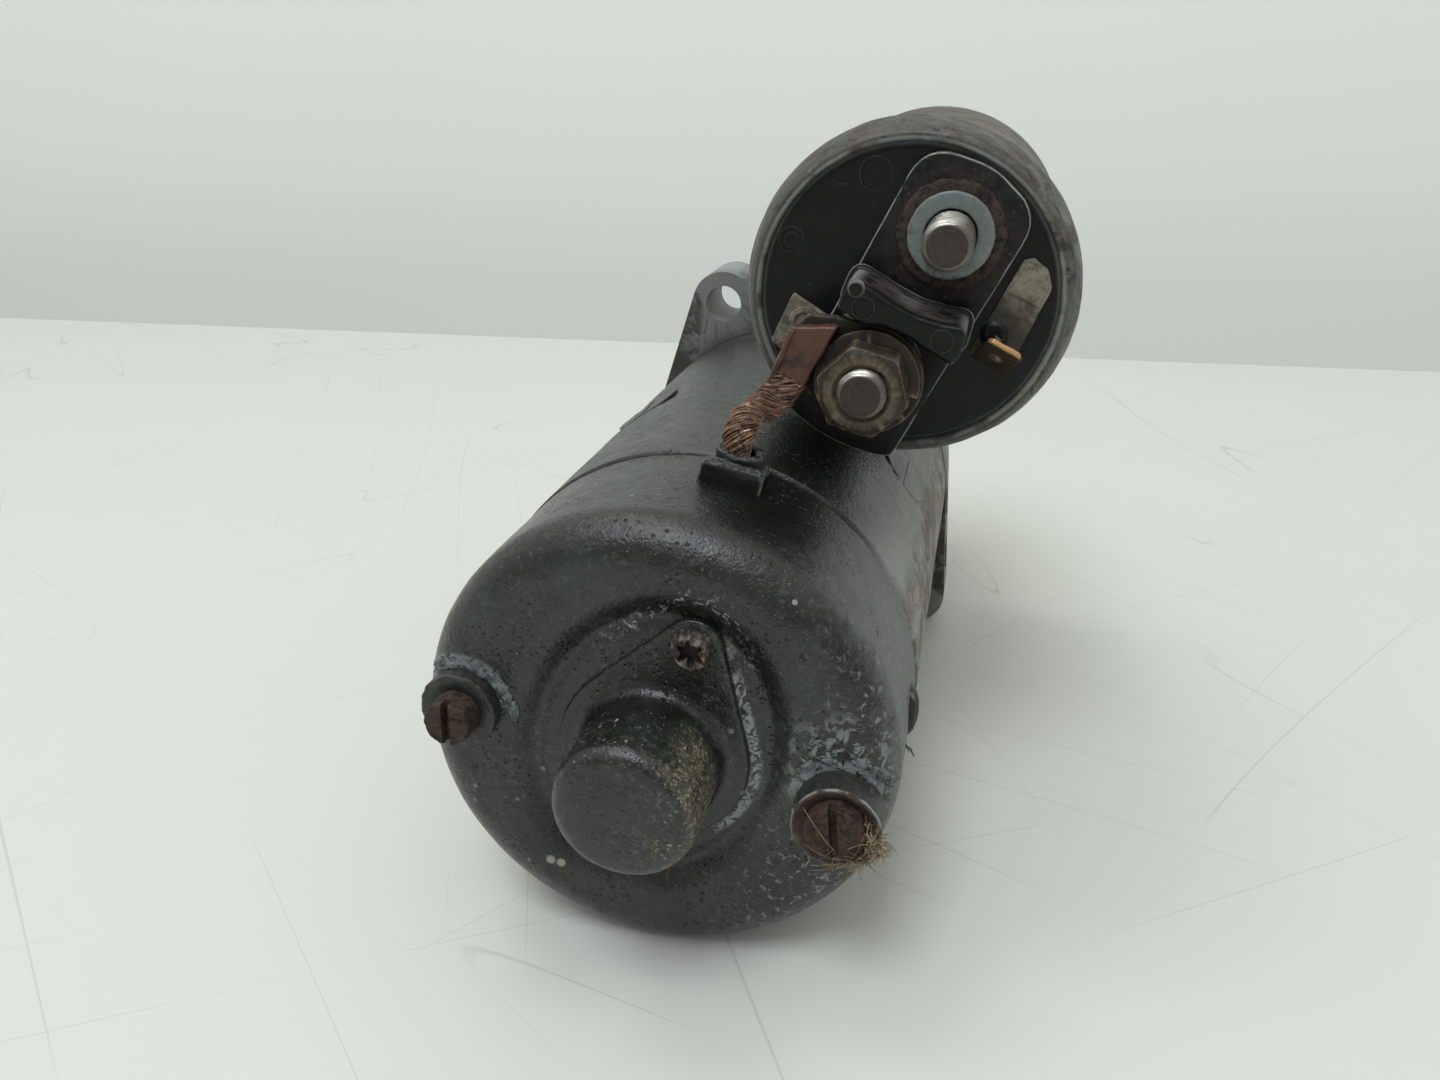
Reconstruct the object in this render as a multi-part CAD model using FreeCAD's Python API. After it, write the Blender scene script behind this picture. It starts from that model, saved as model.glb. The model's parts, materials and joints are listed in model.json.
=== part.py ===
import FreeCAD, Part
import math
import os

# A pre-engaged car starter motor, in millimetres.
# Row frame: the origin is on the armature axis, in the plane of the mounting face.
# +Y runs along the armature axis towards the pinion and the nose, +Z is up as the
# starter lies on a bench. The solenoid leans from +Z towards +X by LEAN degrees.
# Everything is modelled with the solenoid straight up and is leaned when it is saved.

V = FreeCAD.Vector
AXIS_Y = V(0, 1, 0)

# ---- driving dimensions: whole machine ----
LEAN = 27.7               # solenoid's lean from vertical, degrees
CAP_FACE = -150.0         # rear face of the end cap
CAP_LENGTH = 32.0
CAP_RADIUS = 39.5
YOKE_RADIUS = 39.8
YOKE_WALL = 4.5
YOKE_END = -20.0          # joint between yoke and drive end bracket
NOSE_END = 48.0
SEAM = CAP_FACE + CAP_LENGTH
YOKE_BORE = YOKE_RADIUS - YOKE_WALL
RUNNING = 0.06            # radial clearance of a running fit
GAP = 0.3                 # clearance between bodies that don't touch

# ---- solenoid ----
SOL_HEIGHT = 72.4         # solenoid axis above armature axis
SOL_REAR = -104.0         # front edge of the rolled rim at the terminal end
SOL_BODY_RADIUS = 27.2
SOL_RIM_RADIUS = 28.3
SOL_BORE = 24.7
SOL_FRONT = -32.0         # face that meets the drive end bracket
CAP_PLATE_FACE = -103.0   # moulded cap's flat face
PLATEAU_FACE = -104.9     # raised stadium round the two studs
BARRIER_FACE = -117.5     # wall between the studs
STUD_X = 1.0              # both studs sit this far to the side of the solenoid axis
STUD_OFFSET = 12.3        # stud axes above and below the solenoid axis
STUD_RADIUS = 4.0         # M8 thread
SHANK_RADIUS = 4.4        # plain part of the stud, inside cap and washers
PLUNGER_RADIUS = 9.8

# ---- shift linkage ----
PIVOT_Y = -13.5
PIVOT_Z = 40.0
LOWER_ARM = PIVOT_Z
UPPER_ARM = SOL_HEIGHT - PIVOT_Z
LEVER_REST = 6.0          # lever leans this way at rest, degrees
LEVER_END = 12.6          # and this way when the pinion is out
SWING = math.sin(math.radians(LEVER_REST)) + math.sin(math.radians(LEVER_END))
DRIVE_TRAVEL = LOWER_ARM * SWING
PLUNGER_TRAVEL = UPPER_ARM * SWING
GROOVE_Y = PIVOT_Y - LOWER_ARM * math.sin(math.radians(LEVER_REST))
EYE_Y = PIVOT_Y + UPPER_ARM * math.sin(math.radians(LEVER_REST))
CONTACT_TRAVEL = 2.5

# ---- drive ----
SPLINE_RADIUS = 8.0
FRONT_JOURNAL = 6.5
BUSH_JOURNAL = 6.0
CLUTCH_RADIUS = 23.0
CLUTCH_START = -7.0
CLUTCH_END = 8.0
PINION_START = 8.5
PINION_END = 21.5
PINION_TEETH = 10
PINION_MODULE = 2.5
PINION_TIP = 15.3
PINION_ROOT = 9.9

# ---- angles round the armature axis, with the solenoid at 90 degrees ----
BOLT_ANGLES = (17.3, 197.3)
POLE_ANGLES = tuple(62.3 + 90.0 * i for i in range(4))
FLANGE_SCREW_ANGLES = (96.2, 276.2)
GROMMET_ANGLE = 104.7
PLUG_ANGLE = 27.7
EAR_ANGLES = (140.0, -16.1)
EAR_DISTANCES = (48.3, 46.0)
BOLT_CIRCLE = 31.2
EAR_HOLE = 4.5
EAR_RADIUS = 8.0
EAR_BACK = -17.0
PILOT_RADIUS = 33.0
PILOT_END = 8.0

os.makedirs("parts", exist_ok=True)
LEANED = FreeCAD.Placement(V(0, 0, 0), FreeCAD.Rotation(AXIS_Y, LEAN))


# ---- helpers ----
def save(name, shape):
    """Lean a shape into the row frame and write it as one node."""
    placed = shape.copy()
    placed.Placement = LEANED.multiply(placed.Placement)
    placed.exportStep("parts/" + name + ".step")


def rod(radius, start, end, x=0.0, z=0.0):
    """Cylinder along +Y."""
    return Part.makeCylinder(radius, end - start, V(x, start, z), AXIS_Y)


def tube(outer, inner, start, end, x=0.0, z=0.0):
    """Hollow cylinder along +Y."""
    return rod(outer, start, end, x, z).cut(rod(inner, start - 1, end + 1, x, z))


def turned(points, x=0.0, z=0.0):
    """Solid of revolution about a line along Y, from (radius, y) points."""
    corners = [V(x + r, y, z) for r, y in points]
    face = Part.Face(Part.makePolygon(corners + [corners[0]]))
    return face.revolve(V(x, 0, z), AXIS_Y, 360)


def box(x0, x1, y0, y1, z0, z1):
    """Box between two corners."""
    return Part.makeBox(x1 - x0, y1 - y0, z1 - z0, V(x0, y0, z0))


def at_angle(shape, degrees):
    """Turn a shape built at the +X side round the armature axis."""
    turned_copy = shape.copy()
    turned_copy.rotate(V(0, 0, 0), AXIS_Y, -degrees)
    return turned_copy


def polar(radius, degrees):
    """Point in the XZ plane at an angle from +X towards +Z."""
    a = math.radians(degrees)
    return radius * math.cos(a), radius * math.sin(a)


def side_plate(points, half_width):
    """Plate with a (y, z) outline, extruded along X both ways."""
    corners = [V(-half_width, y, z) for y, z in points]
    face = Part.Face(Part.makePolygon(corners + [corners[0]]))
    return face.extrude(V(2 * half_width, 0, 0))


def front_plate(points, start, end):
    """Plate with an (x, z) outline, extruded along +Y."""
    corners = [V(x, start, z) for x, z in points]
    face = Part.Face(Part.makePolygon(corners + [corners[0]]))
    return face.extrude(V(0, end - start, 0))


def sector(outer, inner, start, end, half_angle):
    """Part of a tube, centred on +X, half_angle degrees each way."""
    wedge = [(0, 0)] + [polar(2 * outer, a) for a in (-half_angle, 0, half_angle)]
    return tube(outer, inner, start, end).common(front_plate(wedge, start, end))


def tangent_lobe(main_radius, lobe_radius, distance, degrees, start, end):
    """Lobe beside a disc on the armature axis, with straight sides tangent to both."""
    lean = math.degrees(math.acos((main_radius - lobe_radius) / distance))
    cx, cz = polar(distance, degrees)
    outline = []
    for side in (-1, 1):
        near = polar(main_radius, degrees + side * lean)
        far = polar(lobe_radius, degrees + side * lean)
        pair = [near, (cx + far[0], cz + far[1])]
        outline += pair if side < 0 else pair[::-1]
    quad = front_plate(outline + [(0, 0)], start, end)
    return quad.fuse(rod(lobe_radius, start, end, cx, cz))


def coil_spring(radius, wire, start, end, turns, x=0.0, z=0.0):
    """Helical spring along +Y with the wire's outside between start and end."""
    run = end - start - 2 * wire
    helix = Part.makeHelix(run / turns, run, radius)
    section = Part.Wire(Part.makeCircle(wire, V(radius, 0, 0), V(0, 1, 0)))
    spring = Part.Wire(helix.Edges).makePipeShell([section], True, True)
    spring.rotate(V(0, 0, 0), V(1, 0, 0), -90)
    spring.translate(V(x, start + wire, z))
    return spring


def hexagon(across_flats, start, end, x, z, turn=0.0):
    """Hexagonal prism along +Y."""
    corner = across_flats / math.sqrt(3)
    points = [polar(corner, turn + 60 * i) for i in range(6)]
    return front_plate([(x + px, z + pz) for px, pz in points], start, end)


def fillet_where(shape, radius, wanted):
    """Fillet every edge that passes a test."""
    edges = [e for e in shape.Edges if wanted(e)]
    return shape.makeFillet(radius, edges)


# ---- rear end: cap, bearing cap, bush, bolts ----
POCKET_DEPTH = 1.5
POCKET_LONG = 28.0
POCKET_SHORT = 21.5
CAP_WALL = 2.5
CAP_SKIN = 3.2
SHOULDER = 5.0
HUB_RADIUS = 12.5
HUB_END = CAP_FACE + 13.0
BUSH_OUTER = 8.0
BOLT_RADIUS = 2.5
BOLT_HOLE = 2.8
SCREW_RADIUS = 2.0
FLANGE_SCREW_CIRCLE = 21.2
PLATE_THICKNESS = 1.0
DOME_RADIUS = 11.4
DOME_END = CAP_FACE - 16.5
DOME_WALL = 1.6


def rear_end_cap():
    """Pressed cup with a rolled shoulder, a sunk oval panel and a hub for the bush."""
    floor = CAP_FACE + CAP_SKIN
    inner = CAP_RADIUS - CAP_WALL
    shell = rod(CAP_RADIUS, CAP_FACE, SEAM)
    shell = fillet_where(shell, SHOULDER, lambda e: len(e.Vertexes) == 1 and abs(
        e.Vertexes[0].Point.y - CAP_FACE) < 0.01)
    shell = shell.cut(rod(inner, floor, SEAM + 1))
    shell = shell.fuse(rod(HUB_RADIUS, floor - 1, HUB_END))
    for angle in FLANGE_SCREW_ANGLES:
        x, z = polar(FLANGE_SCREW_CIRCLE, angle)
        shell = shell.fuse(rod(4.0, floor - 1, floor + 3, x, z))
    ellipse = Part.Ellipse(V(0, 0, 0), POCKET_LONG, POCKET_SHORT)
    panel = Part.Face(Part.Wire(ellipse.toShape())).extrude(V(0, 0, POCKET_DEPTH + 1))
    panel.rotate(V(0, 0, 0), V(1, 0, 0), -90)
    panel.translate(V(0, CAP_FACE - 1, 0))
    shell = shell.cut(at_angle(panel, FLANGE_SCREW_ANGLES[0]))
    shell = shell.cut(rod(BUSH_OUTER, CAP_FACE - 1, HUB_END + 1))
    for angle in FLANGE_SCREW_ANGLES:
        x, z = polar(FLANGE_SCREW_CIRCLE, angle)
        shell = shell.cut(rod(SCREW_RADIUS, CAP_FACE - 1, floor + 4, x, z))
    for angle in BOLT_ANGLES:
        x, z = polar(BOLT_CIRCLE, angle)
        shell = shell.cut(rod(BOLT_HOLE, CAP_FACE - 1, floor + 1, x, z))
    shell = shell.cut(at_angle(grommet_block(), GROMMET_ANGLE))
    return shell.cut(at_angle(plug_block(), PLUG_ANGLE))


GROMMET_WIDTH = 10.4
GROMMET_START = CAP_FACE + 20.3
GROMMET_TOP = 42.6
GROMMET_FOOT = 35.6


def grommet_block():
    """Rubber block at the +X side, through the cap's wall and up to its rim."""
    half = GROMMET_WIDTH / 2
    block = box(GROMMET_FOOT, GROMMET_TOP, GROMMET_START, GROMMET_START + 10.2, -half, half)
    tail = box(GROMMET_FOOT, CAP_RADIUS, GROMMET_START + 10.0, SEAM, -half, half)
    return block.fuse(tail)


def lead_grommet():
    """Grommet with its rounded top edges and the passage for the lead."""
    block = grommet_block()
    block = fillet_where(block, 1.5, lambda e: e.BoundBox.XMin > GROMMET_TOP - 0.1)
    passage = Part.makeCylinder(LEAD_RADIUS, 20, V(GROMMET_FOOT - 5, LEAD_EXIT_Y, 0), V(1, 0, 0))
    return at_angle(block.cut(passage), GROMMET_ANGLE)


PLUG_HALF = 5.0
PLUG_TOP = 41.2
PLUG_START = CAP_FACE + 17.0
PLUG_END = SEAM


def plug_block():
    """Small rubber drain plug that fills a slot in the cap's rim."""
    return box(GROMMET_FOOT, PLUG_TOP, PLUG_START, PLUG_END, -PLUG_HALF, PLUG_HALF)


def drain_plug():
    """Drain plug with its outer face rounded over."""
    plug = fillet_where(plug_block(), 1.2, lambda e: e.BoundBox.XMin > PLUG_TOP - 0.1)
    return at_angle(plug, PLUG_ANGLE)


def teardrop_plate(start, end):
    """Rhombic plate: a middle disc with a small rounded tip over each screw."""
    tip_radius = 4.6
    middle = 17.0
    plate = rod(middle, start, end)
    for angle in FLANGE_SCREW_ANGLES:
        plate = plate.fuse(tangent_lobe(middle, tip_radius, FLANGE_SCREW_CIRCLE, angle, start, end))
    return plate.removeSplitter()


def rear_bearing_cap():
    """Dome over the shaft's end, on its teardrop plate."""
    seat = CAP_FACE + POCKET_DEPTH
    plate = teardrop_plate(seat - PLATE_THICKNESS, seat)
    dome = rod(DOME_RADIUS, DOME_END, seat)
    dome = fillet_where(dome, 1.5, lambda e: len(e.Vertexes) == 1 and abs(
        e.Vertexes[0].Point.y - DOME_END) < 0.01)
    cap = plate.fuse(dome).cut(rod(DOME_RADIUS - DOME_WALL, DOME_END + DOME_WALL, seat + 1))
    for angle in FLANGE_SCREW_ANGLES:
        x, z = polar(FLANGE_SCREW_CIRCLE, angle)
        cap = cap.cut(rod(SCREW_RADIUS, seat - 5, seat + 1, x, z))
    return cap


def bearing_cap_screws():
    """Two button-head screws with star sockets."""
    screws = []
    plate_face = CAP_FACE + POCKET_DEPTH - PLATE_THICKNESS
    for angle in FLANGE_SCREW_ANGLES:
        x, z = polar(FLANGE_SCREW_CIRCLE, angle)
        head = turned([(0, -2.3), (2.2, -2.3), (3.2, -1.7), (3.8, -0.7), (3.8, 0), (0, 0)])
        socket = rod(0.9, -3, -1)
        for i in range(6):
            sx, sz = polar(1.2, 60 * i)
            socket = socket.fuse(rod(0.45, -3, -1, sx, sz))
        screw = head.cut(socket).fuse(rod(SCREW_RADIUS, -0.1, 5.5))
        screw.translate(V(x, plate_face, z))
        screws.append(screw)
    return Part.makeCompound(screws)


def rear_bush():
    return tube(BUSH_OUTER, BUSH_JOURNAL + RUNNING, CAP_FACE + POCKET_DEPTH, HUB_END)


WASHER_RADIUS = 6.3
WASHER_THICKNESS = 2.8
HEAD_RADIUS = 4.2
HEAD_HEIGHT = 4.2
BOLT_END = -8.0


def through_bolt_washers():
    """Thick round washers under the bolt heads."""
    start = CAP_FACE - WASHER_THICKNESS
    places = [polar(BOLT_CIRCLE, a) for a in BOLT_ANGLES]
    return Part.makeCompound([tube(WASHER_RADIUS, BOLT_RADIUS, start, CAP_FACE, x, z) for x, z in places])


def through_bolts():
    """Two long bolts with slotted round heads, from the end cap into the bracket."""
    bolts = []
    seat = CAP_FACE - WASHER_THICKNESS
    top = seat - HEAD_HEIGHT
    for angle in BOLT_ANGLES:
        x, z = polar(BOLT_CIRCLE, angle)
        bolt = rod(HEAD_RADIUS, top, seat, x, z).fuse(rod(BOLT_RADIUS, seat - 1, BOLT_END, x, z))
        slot = box(-0.7, 0.7, top - 1, top + 1.6, -6, 6)
        slot.rotate(V(0, 0, 0), AXIS_Y, -LEAN)
        slot.translate(V(x, 0, z))
        bolts.append(bolt.cut(slot))
    return Part.makeCompound(bolts)


# ---- yoke, poles and field coils ----
POLE_FACE = 25.9
POLE_START = -102.0
POLE_END = -40.0
COIL_START = -112.0
COIL_END = -30.0
POLE_SCREW_RADIUS = 4.0


def pole_screw_cut(extra):
    """Countersunk screw shape at the +X side, head flush with the yoke."""
    top = YOKE_RADIUS - 0.2 + extra
    y = (POLE_START + POLE_END) / 2
    shank = Part.makeCylinder(POLE_SCREW_RADIUS, 11.5 + extra, V(YOKE_RADIUS - 12, y, 0), V(1, 0, 0))
    head = Part.makeCone(POLE_SCREW_RADIUS, 8.0, 4.0, V(top - 4.0, y, 0), V(1, 0, 0))
    return shank.common(Part.makeBox(top, 20, 20, V(0, y - 10, -10))).fuse(head)


def yoke():
    """Steel tube with four countersunk holes for the pole screws."""
    body = tube(YOKE_RADIUS, YOKE_BORE, SEAM, YOKE_END)
    for angle in POLE_ANGLES:
        body = body.cut(at_angle(pole_screw_cut(0.0), angle))
    return body


def pole_screws():
    """Four countersunk screws with slots, one to each pole shoe."""
    y = (POLE_START + POLE_END) / 2
    slot = box(YOKE_RADIUS - 2.2, YOKE_RADIUS + 1, y - 7, y + 7, -0.8, 0.8)
    screw = pole_screw_cut(0.0).cut(slot)
    return Part.makeCompound([at_angle(screw, a) for a in POLE_ANGLES])


def pole_shoe():
    """Pole at the +X side: a narrow back on the yoke and a wide curved face."""
    back = sector(YOKE_BORE, 29.0, POLE_START + 8, POLE_END - 8, 14)
    face = sector(29.5, POLE_FACE, POLE_START, POLE_END, 32)
    shoe = back.fuse(face)
    return shoe.cut(pole_screw_cut(0.0))


def field_coil():
    """Flat coil bent round the pole's back."""
    outside = sector(YOKE_BORE - 0.5, 29.7, COIL_START + 2, COIL_END - 2, 34)
    window = sector(YOKE_BORE + 1, 29, POLE_START + 7, POLE_END - 7, 15)
    return outside.cut(window)


# ---- brush gear ----
COMMUTATOR_RADIUS = 17.0
COMMUTATOR_START = -136.0
COMMUTATOR_END = -114.0
PLATE_FACE = -135.0
BRUSH_START = -132.5
BRUSH_END = -119.5
BRUSH_HALF = 4.0
BRUSH_TOP = 28.0
HOLDER_TOP = 34.5


def brush_plate():
    """Ring that carries the four brush holders, notched for the bolts."""
    plate = tube(36.6, 19.5, PLATE_FACE, PLATE_FACE + 1.5)
    for angle in BOLT_ANGLES:
        x, z = polar(BOLT_CIRCLE, angle)
        plate = plate.cut(rod(3.4, PLATE_FACE - 1, PLATE_FACE + 3, x, z))
    notch = box(33, 40, PLATE_FACE - 1, PLATE_FACE + 3, -7, 7)
    return plate.cut(at_angle(notch, GROMMET_ANGLE))


def brush_holders():
    """Four sheet-metal boxes, each closed at its outer end."""
    outer = box(19.8, HOLDER_TOP, BRUSH_START - 1, BRUSH_END + 1, -BRUSH_HALF - 1, BRUSH_HALF + 1)
    inner = box(19, HOLDER_TOP - 1, BRUSH_START, BRUSH_END, -BRUSH_HALF, BRUSH_HALF)
    holder = outer.cut(inner)
    return Part.makeCompound([at_angle(holder, a) for a in POLE_ANGLES])


def brushes():
    """Four carbon brushes, curved to the commutator."""
    block = box(14, BRUSH_TOP, BRUSH_START, BRUSH_END, -BRUSH_HALF, BRUSH_HALF)
    brush = block.cut(rod(COMMUTATOR_RADIUS + 0.1, BRUSH_START - 1, BRUSH_END + 1))
    return Part.makeCompound([at_angle(brush, a) for a in POLE_ANGLES])


def brush_springs():
    """Four coil springs that push the brushes in."""
    spring = coil_spring(2.4, 0.5, BRUSH_TOP, HOLDER_TOP - 1, 3)
    spring.rotate(V(0, 0, 0), V(0, 0, 1), -90)
    # The spring's own +Y axis now points along +X, centred on the brush's length.
    spring.translate(V(0, (BRUSH_START + BRUSH_END) / 2, 0))
    return Part.makeCompound([at_angle(spring, a) for a in POLE_ANGLES])


# ---- armature ----
CORE_RADIUS = 25.3
CORE_START = -98.0
CORE_END = -44.0
CORE_SLOTS = 24
SHAFT_CORE_RADIUS = 9.0
SHAFT_START = CAP_FACE - 5.5
SHAFT_END = NOSE_END - 1.5


def armature_shaft():
    """Stepped shaft: rear journal, core seat, spline, pinion journal, nose journal."""
    points = [
        (0, SHAFT_START), (BUSH_JOURNAL, SHAFT_START), (BUSH_JOURNAL, HUB_END + 0.6),
        (SHAFT_CORE_RADIUS, HUB_END + 0.6), (SHAFT_CORE_RADIUS, -29.0),
        (SPLINE_RADIUS, -29.0), (SPLINE_RADIUS, -5.0), (FRONT_JOURNAL, -5.0),
        (FRONT_JOURNAL, 37.0), (BUSH_JOURNAL, 37.0), (BUSH_JOURNAL, SHAFT_END), (0, SHAFT_END),
    ]
    shaft = turned(points)
    return shaft.cut(tube(8, BUSH_JOURNAL - 0.8, SHAFT_START + 1.5, SHAFT_START + 2.7))


def shaft_clip():
    """Spring clip in the shaft's rear groove, with its open mouth."""
    clip = tube(8.2, BUSH_JOURNAL - 0.8, SHAFT_START + 1.6, SHAFT_START + 2.6)
    return clip.cut(box(-3.5, 3.5, SHAFT_START, SHAFT_START + 4, -12, 0))


def armature_core():
    """Laminated core with slots along it."""
    core = tube(CORE_RADIUS, SHAFT_CORE_RADIUS, CORE_START, CORE_END)
    slot = box(CORE_RADIUS - 5, CORE_RADIUS + 1, CORE_START - 1, CORE_END + 1, -1.2, 1.2)
    slots = [at_angle(slot, 360.0 * i / CORE_SLOTS) for i in range(CORE_SLOTS)]
    return core.cut(Part.makeCompound(slots))


def armature_windings():
    """Bars in the slots, joined by the wound heads at both ends of the core."""
    rear = turned([(13, CORE_START), (24.5, CORE_START), (24.5, -102), (16.5, -110), (13, -110)])
    front = turned([(13, CORE_END), (24.5, CORE_END), (24.5, -38), (20, -29.5), (13, -29.5)])
    bar = box(CORE_RADIUS - 4.8, CORE_RADIUS - 1.2, CORE_START - 0.5, CORE_END + 0.5, -1.1, 1.1)
    bars = [at_angle(bar, 360.0 * i / CORE_SLOTS) for i in range(CORE_SLOTS)]
    return rear.multiFuse(bars + [front])


def commutator():
    """Copper segments, cut apart by fine grooves."""
    ring = tube(COMMUTATOR_RADIUS, SHAFT_CORE_RADIUS, COMMUTATOR_START, COMMUTATOR_END)
    groove = box(COMMUTATOR_RADIUS - 0.8, COMMUTATOR_RADIUS + 1, COMMUTATOR_START - 1,
                 COMMUTATOR_END + 1, -0.35, 0.35)
    grooves = [at_angle(groove, 360.0 * (i + 0.5) / CORE_SLOTS) for i in range(CORE_SLOTS)]
    return ring.cut(Part.makeCompound(grooves))


def stop_ring():
    """Ring on the shaft that the pinion's travel ends at."""
    return tube(9.6, FRONT_JOURNAL, 35.2, 36.7)


# ---- drive: sleeve, clutch and pinion ----
SLEEVE_RADIUS = 11.0
COLLAR_RADIUS = 17.0
GROOVE_HALF = 4.8
COLLAR_THICKNESS = 2.0
ROLLER_RADIUS = 2.5
ROLLER_CIRCLE = 16.4
ROLLER_COUNT = 5
TAIL_RADIUS = 13.7


def drive_sleeve():
    """Sleeve on the shaft's spline with two collars that hold the lever's fork."""
    rear = GROOVE_Y - GROOVE_HALF
    front = GROOVE_Y + GROOVE_HALF
    bore = SPLINE_RADIUS + RUNNING
    points = [
        (bore, rear - COLLAR_THICKNESS), (COLLAR_RADIUS, rear - COLLAR_THICKNESS),
        (COLLAR_RADIUS, rear), (SLEEVE_RADIUS, rear), (SLEEVE_RADIUS, front),
        (COLLAR_RADIUS, front), (COLLAR_RADIUS, front + COLLAR_THICKNESS),
        (SLEEVE_RADIUS, front + COLLAR_THICKNESS), (SLEEVE_RADIUS, CLUTCH_START + 3),
        (bore, CLUTCH_START + 3),
    ]
    return turned(points)


def engagement_spring():
    """Short spring between the front collar and the clutch."""
    front = GROOVE_Y + GROOVE_HALF + COLLAR_THICKNESS
    return coil_spring(13.2, 0.55, front, CLUTCH_START, 2)


def clutch_housing():
    """One-way clutch's outer shell, with a pocket for each roller."""
    inner_end = CLUTCH_END - 2.0
    points = [
        (SLEEVE_RADIUS, CLUTCH_START), (CLUTCH_RADIUS - 1, CLUTCH_START),
        (CLUTCH_RADIUS, CLUTCH_START + 1), (CLUTCH_RADIUS, CLUTCH_END - 1),
        (CLUTCH_RADIUS - 1, CLUTCH_END), (12.4, CLUTCH_END), (12.4, inner_end),
        (TAIL_RADIUS + GAP, inner_end), (TAIL_RADIUS + GAP, CLUTCH_START + 3),
        (SLEEVE_RADIUS, CLUTCH_START + 3),
    ]
    shell = turned(points)
    for i in range(ROLLER_COUNT):
        x, z = polar(ROLLER_CIRCLE, 72 * i)
        pocket = rod(ROLLER_RADIUS + 0.1, CLUTCH_START + 3, inner_end, x, z)
        shell = shell.cut(pocket)
    return shell


def clutch_rollers():
    """Steel rollers in the clutch's pockets."""
    rollers = []
    for i in range(ROLLER_COUNT):
        x, z = polar(ROLLER_CIRCLE, 72 * i)
        rollers.append(rod(ROLLER_RADIUS, CLUTCH_START + 3.2, CLUTCH_END - 2.2, x, z))
    return Part.makeCompound(rollers)


def pinion():
    """Spur pinion with bevelled leading edges and its tail inside the clutch."""
    pitch = PINION_MODULE * PINION_TEETH / 2
    half_pitch = 90.0 / PINION_TEETH
    outline = []
    for i in range(PINION_TEETH):
        centre = 360.0 * i / PINION_TEETH
        for radius, offset in (
            (PINION_ROOT, -1.25 * half_pitch), (pitch, -1.02 * half_pitch),
            (PINION_TIP, -0.38 * half_pitch), (PINION_TIP, 0.38 * half_pitch),
            (pitch, 1.02 * half_pitch), (PINION_ROOT, 1.25 * half_pitch),
        ):
            outline.append(polar(radius, centre + offset))
    teeth = front_plate(outline, PINION_START + 0.5, PINION_END)
    lead = turned([(0, PINION_START), (PINION_TIP + 1, PINION_START), (PINION_TIP + 1, PINION_END - 2.2),
                   (PINION_TIP - 2.2, PINION_END), (0, PINION_END)])
    teeth = teeth.common(lead)
    neck = rod(12.4 - GAP, CLUTCH_END - 2.3, PINION_START + 0.6)
    tail = rod(TAIL_RADIUS, CLUTCH_START + 3.3, CLUTCH_END - 2.3)
    body = teeth.fuse(neck).fuse(tail)
    return body.cut(rod(FRONT_JOURNAL + RUNNING, CLUTCH_START, PINION_END + 1))


# ---- shift lever ----
PIN_RADIUS = 3.0
FORK_INNER = 12.0
FORK_OUTER = 15.6
SHOE_RADIUS = 4.4


def along_lever(shape):
    """Lean a lever shape that is built upright over the pivot into its rest place."""
    placed = shape.copy()
    placed.rotate(V(0, PIVOT_Y, PIVOT_Z), V(1, 0, 0), -LEVER_REST)
    return placed


def shift_lever():
    """Lever: round head in the plunger's eye, boss on the pin, and a two-armed fork."""
    y, z = PIVOT_Y, PIVOT_Z
    head = Part.makeCylinder(3.6, 5, V(-2.5, y, z + UPPER_ARM), V(1, 0, 0))
    neck = side_plate([(y - 4.5, z), (y + 4.5, z), (y + 2.2, z + 24), (y + 2.2, z + UPPER_ARM),
                       (y - 2.2, z + UPPER_ARM), (y - 2.2, z + 24)], 2.5)
    boss = Part.makeCylinder(5.8, 15, V(-7.5, y, z), V(1, 0, 0))
    bridge = side_plate([(y - 3.2, z - 13), (y + 3.2, z - 13), (y + 3.2, z), (y - 3.2, z)], FORK_OUTER)
    lever = head.multiFuse([neck, boss, bridge])
    for side in (-1, 1):
        inner, outer = sorted((side * FORK_INNER, side * FORK_OUTER))
        arm = side_plate([(y - 3.2, z - 12), (y - 3.2, z - 20), (y - 1.8, z - 27), (y - 1.8, 0),
                          (y + 1.8, 0), (y + 1.8, z - 27), (y + 3.2, z - 20), (y + 3.2, z - 12)],
                         FORK_OUTER)
        arm = arm.common(box(inner, outer, y - 9, y + 9, -9, z))
        shoe = Part.makeCylinder(SHOE_RADIUS, outer - inner, V(inner, y, 0), V(1, 0, 0))
        lever = lever.fuse(arm).fuse(shoe)
    lever = lever.cut(Part.makeCylinder(PIN_RADIUS + RUNNING, 40, V(-20, y, z), V(1, 0, 0)))
    return along_lever(lever.removeSplitter())


def lever_pivot_pin():
    """Plain pin across the bracket's tower, with a low head at one end."""
    pin = Part.makeCylinder(PIN_RADIUS, 2 * TOWER_HALF + 0.4, V(-TOWER_HALF - 0.2, PIVOT_Y, PIVOT_Z), V(1, 0, 0))
    head = Part.makeCylinder(4.6, 1.6, V(TOWER_HALF, PIVOT_Y, PIVOT_Z), V(1, 0, 0))
    return pin.fuse(head)


# ---- solenoid ----
COIL_FLANGE_REAR = -92.0
CORE_TIP = -77.0
PLUNGER_REAR = CORE_TIP + PLUNGER_TRAVEL + 0.4
PLUNGER_NECK = SOL_FRONT - 4.3
CAN_WALL = 4.0
ROD_RADIUS = 7.0
ROD_END = EYE_Y + 6.4
EYE_HALF = 3.95
COLLAR_REAR = EYE_Y - 7.4
CONTACT_RADIUS = 16.5
CONTACT_FACE = -97.2
CONTACT_ROD = 2.5
CONTACT_ROD_END = PLUNGER_REAR - PLUNGER_TRAVEL + CONTACT_TRAVEL - GAP


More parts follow.
